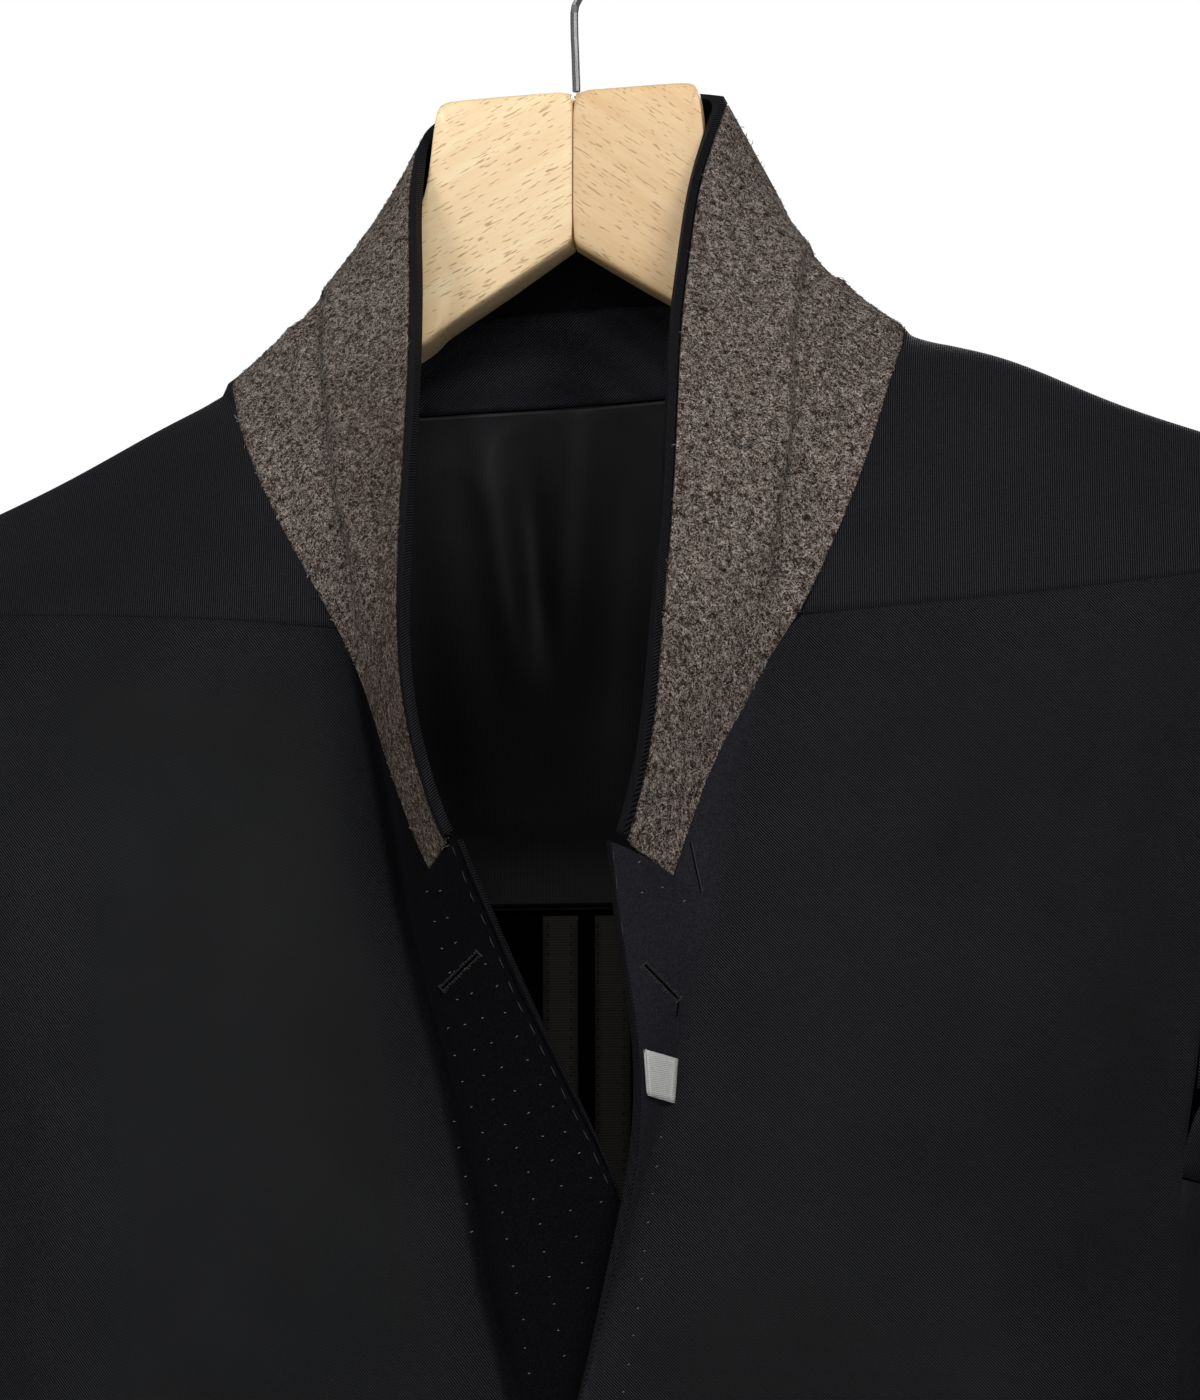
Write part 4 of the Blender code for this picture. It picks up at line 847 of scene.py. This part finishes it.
# Pad stitches that catch the lapel's canvas show as small pale points in rows.
padRows = (
    ("left", ((485, 963), (516, 1040), (552, 1109), (590, 1177), (608, 1226)), 26.6),
    ("left", ((455, 943), (471.6, 995), (502, 1072), (543, 1139), (570, 1213), (587, 1291)), 26.6),
    ("left", ((441, 948), (464, 1026), (492, 1101), (526, 1169), (538, 1223), (562, 1354), (566, 1381)),
     26.8),
    ("left", ((447, 1029), (461, 1083), (480, 1130), (500, 1207), (521, 1318), (530, 1396)), 27.4),
    ("left", ((453, 1121), (464, 1178), (470, 1234)), 28.2),
    ("left", ((439, 891), (447, 920)), 29.0),
    ("left", ((426, 893), (434, 922)), 29.0),
    ("right", ((660, 1138), (647, 1222), (637, 1309), (622, 1396)), 28.6),
    ("right", ((638, 863), (641, 892)), 29.0),
    ("right", ((661, 887), (684, 902)), 27.0),
)
padLook = {"radius": 0.00016, "long": 2.2, "lift": 0.0002}
pads = Threads()
for row, (side, points, pitch) in enumerate(padRows):
    for number, (spot, run) in enumerate(alongLine(points, pitch)):
        shift = Vector((uneven(number + 7 * row, 1.0), uneven(number + 5 * row + 3, 1.2)))
        tilt = Vector((padLook["long"], -padLook["long"] * (0.3 + uneven(number + row, 0.6))))
        start = spot + shift
        stitch(pads, start, start + tilt, ["front_" + side], padLook["radius"], padLook["lift"], 2)
pads.finish("padStitches", padThread)

# Buttonholes: a cut with whipped sides and a bar at each end; the cut is a near-black thread laid on the cloth,
# painted shade of the opening.
buttonholes = (
    {"side": "left", "start": (442, 989), "end": (479, 953), "tail": None},
    {"side": "right", "start": (644, 964), "end": (679, 1000), "tail": (676, 1018)},
)
whip = {"pitch": 1.7, "long": 4.0, "radius": 0.00018, "lift": 0.00035, "slit": 1.0}
whipped, slitShades = Threads(), Threads()
for hole in buttonholes:
    names = ["front_" + hole["side"]]
    start, end = Vector(hole["start"]), Vector(hole["end"])
    run = (end - start).normalized()
    out = Vector((run.y, -run.x))
    slitShades.add(trailOf((start, end), names, 3.0, 0.00012), 0.0004, 6)
    for number, (spot, along) in enumerate(alongLine((start, end), whip["pitch"])):
        for way in (-1, 1):
            reach = whip["long"] + uneven(number * 2 + way, 1.1)
            lean = run * uneven(number + 11 * way, 0.9)
            stitch(whipped, spot + out * way * whip["slit"], spot + lean + out * way * reach, names,
                   whip["radius"], whip["lift"], 3)
    for spot in (start, end):
        stitch(whipped, spot - out * 5.5, spot + out * 5.5, names, whip["radius"] * 1.3, whip["lift"], 5)
    if hole["tail"]:
        tail = Vector(hole["tail"])
        slitShades.add(trailOf((end, tail), names, 3.0, 0.0001), 0.00028, 6)
    else:
        stitch(slitShades, start + out * 4, start + out * 4 + Vector((3, 12)), names, 0.0002, 0.0002, 3)
whipped.finish("buttonholeWhipping", whipThread)
slitShades.finish("buttonholeCuts", blackThread)

# The small dart under the right collar: a seam with a raised side; its dark line is painted shade of the seam's
# groove.
dart = {"line": ((690, 842), (695, 866), (701, 893)), "radius": 0.0002}
dartShades = Threads()
dartShades.add(trailOf(dart["line"], ["front_right"], 4.0, 0.00005), dart["radius"], 6)
dartShades.finish("dartSeam", blackThread)
ridges = Threads()
besideDart = [(x + 1.6, y) for x, y in dart["line"]]
ridges.add(trailOf(besideDart, ["front_right"], 4.0, 0.00002), dart["radius"] * 0.8, 6)
ridges.finish("dartRidge", dashThread)

# Tapes inside the back: dark stitches by both edges.
tapeLook = {
    "tape_left": (548, 571), "tape_right": (598, 624), "top": 924, "end": 1176,
    "pitch": 9.4, "long": 3.4, "radius": 0.00022}
tapeMarks = Threads()
for name in ("tape_left", "tape_right"):
    for across in tapeLook[name]:
        line = ((across, tapeLook["top"]), (across, tapeLook["end"]))
        for number, (spot, run) in enumerate(alongLine(line, tapeLook["pitch"])):
            end = spot + Vector((uneven(number, 0.5), tapeLook["long"] + uneven(number + 3, 0.6)))
            stitch(tapeMarks, spot, end, [name], tapeLook["radius"], 0.0001, 2)
tapeMarks.finish("tapeStitches", blackThread)

# The pale tab is held by whipped bars on both sides.
tabBars = {"lines": (((645, 1049), (648, 1095)), ((672, 1062), (668, 1101))), "pitch": 1.5, "radius": 0.00016}
bars = Threads()
for start, end in tabBars["lines"]:
    for strand in (-1.6, -0.5, 0.6, 1.7):
        head = (start[0] + strand, start[1] + uneven(strand, 2))
        foot = (end[0] + strand, end[1] + uneven(strand + 5, 3))
        line = trailOf((head, foot), ["lapel_tab", "front_right"], 4.0, 0.0004 - abs(strand) * 0.00008)
        bars.add(line, tabBars["radius"], 6)
bars.finish("tabBars", paleThread)
print("stitches sewn")

# Wool fibres that stand up from the melton, a little curled.
fuzz = {"count": 9000, "short": 1.3, "long": 3.2, "rise": 0.32, "radius": 0.00011, "seed": 11}


def meltonFibres():
    chance = random.Random(fuzz["seed"])
    mesh = shells["undercollar"].data
    outer = []
    for face in mesh.polygons:
        away = Vector((face.center.x - 0.002, face.center.y + 0.005, 0.012))
        if face.normal.dot(away) > 0:
            outer.append(face)
    reach, total = [], 0.0
    for face in outer:
        total += face.area
        reach.append(total)
    fibres = Threads()
    kinds = []
    for number in range(fuzz["count"]):
        face = outer[min(len(outer) - 1, bisect.bisect(reach, chance.random() * total))]
        corners = [mesh.vertices[i].co for i in face.vertices]
        first, second = chance.random(), chance.random()
        spot = corners[0].lerp(corners[1], first).lerp(corners[-1].lerp(corners[2], first), second)
        normal = face.normal
        run = normal.orthogonal().normalized()
        run.rotate(Quaternion(normal, chance.random() * 6.283))
        curl = normal.cross(run) * chance.uniform(-0.5, 0.5)
        length = chance.uniform(fuzz["short"], fuzz["long"]) * mm
        rise = chance.uniform(0.05, fuzz["rise"]) * mm
        line = [spot - normal * 0.1 * mm,
                spot + run * length * 0.5 + curl * length * 0.5 + normal * rise,
                spot + run * length * 0.8 + curl * length * 1.3 + normal * rise * chance.uniform(0.2, 1.4)]
        before = len(fibres.faces)
        fibres.add(line, fuzz["radius"] * chance.uniform(0.7, 1.5), 3, 0.5)
        kind = 0 if chance.random() < 0.45 else 1
        kinds.extend([kind] * (len(fibres.faces) - before))
    piece = fibres.finish("meltonFibres", paleFibre, "melton")
    piece.data.materials.append(brownFibre)
    for face, kind in zip(piece.data.polygons, kinds):
        face.material_index = kind


meltonFibres()

# Buttons: turned horn with a raised rim and four holes, sewn on with a cross of thread.
buttonShape = {
    "profile": ((0.0, 0.62), (0.5, 0.62), (0.62, 0.74), (0.76, 0.97), (0.88, 1.0),
                (0.97, 0.86), (1.0, 0.6), (0.97, 0.3), (0.8, 0.02), (0.0, 0.0)),
    "drill": ((0.0, -0.5), (1.0, -0.5), (1.0, 1.5), (0.0, 1.5)),
    "around": 56, "holes": 0.19, "hole": 0.085, "strands": 3}


def turned(profile, around, radius, height):
    mesh = bpy.data.meshes.new("turned")
    shape = bmesh.new()
    rings = []
    for far, up in profile:
        count = 1 if far == 0 else around
        rings.append([])
        for k in range(count):
            turn = 2 * math.pi * k / around
            spot = (far * radius * math.cos(turn), far * radius * math.sin(turn), up * height)
            rings[-1].append(shape.verts.new(spot))
    for low, high in zip(rings, rings[1:]):
        for k in range(around):
            after = (k + 1) % around
            corners = [low[k % len(low)], low[after % len(low)], high[after % len(high)], high[k % len(high)]]
            shape.faces.new(list(dict.fromkeys(corners)))
    bmesh.ops.recalc_face_normals(shape, faces=shape.faces[:])
    shape.to_mesh(mesh)
    shape.free()
    return mesh


def drilled(radius, height):
    outline = turned(buttonShape["profile"], buttonShape["around"], radius, height)
    body = bpy.data.objects.new("buttonBody", outline)
    bpy.context.scene.collection.objects.link(body)
    bits = []
    for across, up in ((1, 1), (1, -1), (-1, 1), (-1, -1)):
        size = buttonShape["hole"] * radius
        bit = bpy.data.objects.new("drill", turned(buttonShape["drill"], 16, size, height))
        bit.location = (across * buttonShape["holes"] * radius, up * buttonShape["holes"] * radius, 0)
        bpy.context.scene.collection.objects.link(bit)
        cut = body.modifiers.new("drill", "BOOLEAN")
        cut.object, cut.solver = bit, "EXACT"
        bits.append(bit)
    bpy.context.view_layer.update()
    mesh = bpy.data.meshes.new_from_object(body.evaluated_get(bpy.context.evaluated_depsgraph_get()))
    for used in (*bits, body):
        bpy.data.objects.remove(used)
    return mesh


def sewButton(name):
    data = nodes[name].data
    middle = sum((vert.co for vert in data.vertices), Vector()) / len(data.vertices)
    flat = max(data.polygons, key=lambda face: face.area)
    axis = flat.normal.copy()
    carriers = [cloth for cloth in shells if cloth.startswith(("front_", "sleeve_"))]
    under = min((surfaceOf(cloth).find_nearest(middle) for cloth in carriers), key=lambda hit: hit[3])
    if (middle - under[0]).dot(axis) < 0:
        axis = -axis
    heights = [(vert.co - middle).dot(axis) for vert in data.vertices]
    radius = max(((vert.co - middle) - axis * (vert.co - middle).dot(axis)).length for vert in data.vertices)
    height = max(heights) - min(heights)
    base = middle + axis * min(heights)
    turn = axis.to_track_quat("Z", "Y").to_matrix().to_4x4()
    seat = Matrix.Translation(base) @ turn
    mesh = drilled(radius, height)
    mesh.transform(seat)
    title = "".join(word.capitalize() for word in name.split("_"))
    place(title[0].lower() + title[1:], mesh, horn, "horn_button", (name,))
    far = buttonShape["holes"] * radius
    for first, second in (((far, far), (-far, -far)), ((far, -far), (-far, far))):
        for strand in range(buttonShape["strands"]):
            off = (strand - 1) * 0.016 * radius * 2
            line = []
            for part in (0.0, 0.12, 0.5, 0.88, 1.0):
                across = first[0] + (second[0] - first[0]) * part + off
                up = first[1] + (second[1] - first[1]) * part - off * (1 if first[1] > 0 else -1)
                lift = 0.2 if part in (0.0, 1.0) else 0.7 + 0.14 * math.sin(math.pi * part)
                line.append(seat @ Vector((across, up, lift * height)))
            buttonThreads.add(line, 0.00016, 6, 0.9)


buttonThreads = Threads()
for name in list(nodes):
    if name.startswith(("front_button", "cuff_button")):
        sewButton(name)
buttonThreads.finish("buttonThreads", darkThread)
print("buttons sewn on")

# Studio: a pale floor under the hem, a white room and soft lamps.
studio = {"floor": -1.12, "size": 6.0, "world": 1.0, "fill": 0.2}
floorMesh = bpy.data.meshes.new("floor")
half = studio["size"] / 2
corners = [(-half, -half, 0), (half, -half, 0), (half, half, 0), (-half, half, 0)]
floorMesh.from_pydata(corners, [], [(0, 1, 2, 3)])
floor = bpy.data.objects.new("floor", floorMesh)
floor.location = (0, 0, studio["floor"])
bpy.context.scene.collection.objects.link(floor)
floorPaint, floorTree, floorShader, floorPlace = startMaterial("floorPaint", {"Roughness": 0.8})
tone = mixed(floorTree, noise(floorTree, floorPlace, 3.0), (0.80, 0.80, 0.80), (0.84, 0.84, 0.84))
floorTree.links.new(tone, floorShader.inputs["Base Color"])
floorMesh.materials.append(floorPaint)

world = bpy.data.worlds.new("world")
bpy.context.scene.world = world
world.use_nodes = True
seen = put(world.node_tree, "ShaderNodeLightPath").outputs["Is Camera Ray"]
strength = ramp(world.node_tree, seen, 0.0, 1.0, studio["fill"], studio["world"])
world.node_tree.links.new(strength, world.node_tree.nodes["Background"].inputs["Strength"])
world.node_tree.nodes["Background"].inputs["Color"].default_value = (1.0, 1.0, 1.0, 1.0)

lamps = (
    ("key", (1.2, -1.8, 1.3), 1.1, 33.0),
    ("fill", (-1.2, -1.9, 1.2), 1.1, 20.0),
    ("front", (0.1, -2.4, 0.5), 0.8, 9.0),
    ("back", (0.3, 1.9, 0.6), 1.4, 14.0),
)
for name, spot, size, power in lamps:
    light = bpy.data.lights.new(name, "AREA")
    light.shape = "DISK"
    light.size = size
    light.energy = power
    lamp = bpy.data.objects.new(name, light)
    lamp.location = spot
    lamp.rotation_euler = (Vector((0.02, -0.05, -0.35)) - Vector(spot)).to_track_quat("-Z", "Y").to_euler()
    bpy.context.scene.collection.objects.link(lamp)
bpy.context.scene.view_settings.view_transform = "Standard"
print("studio lit")
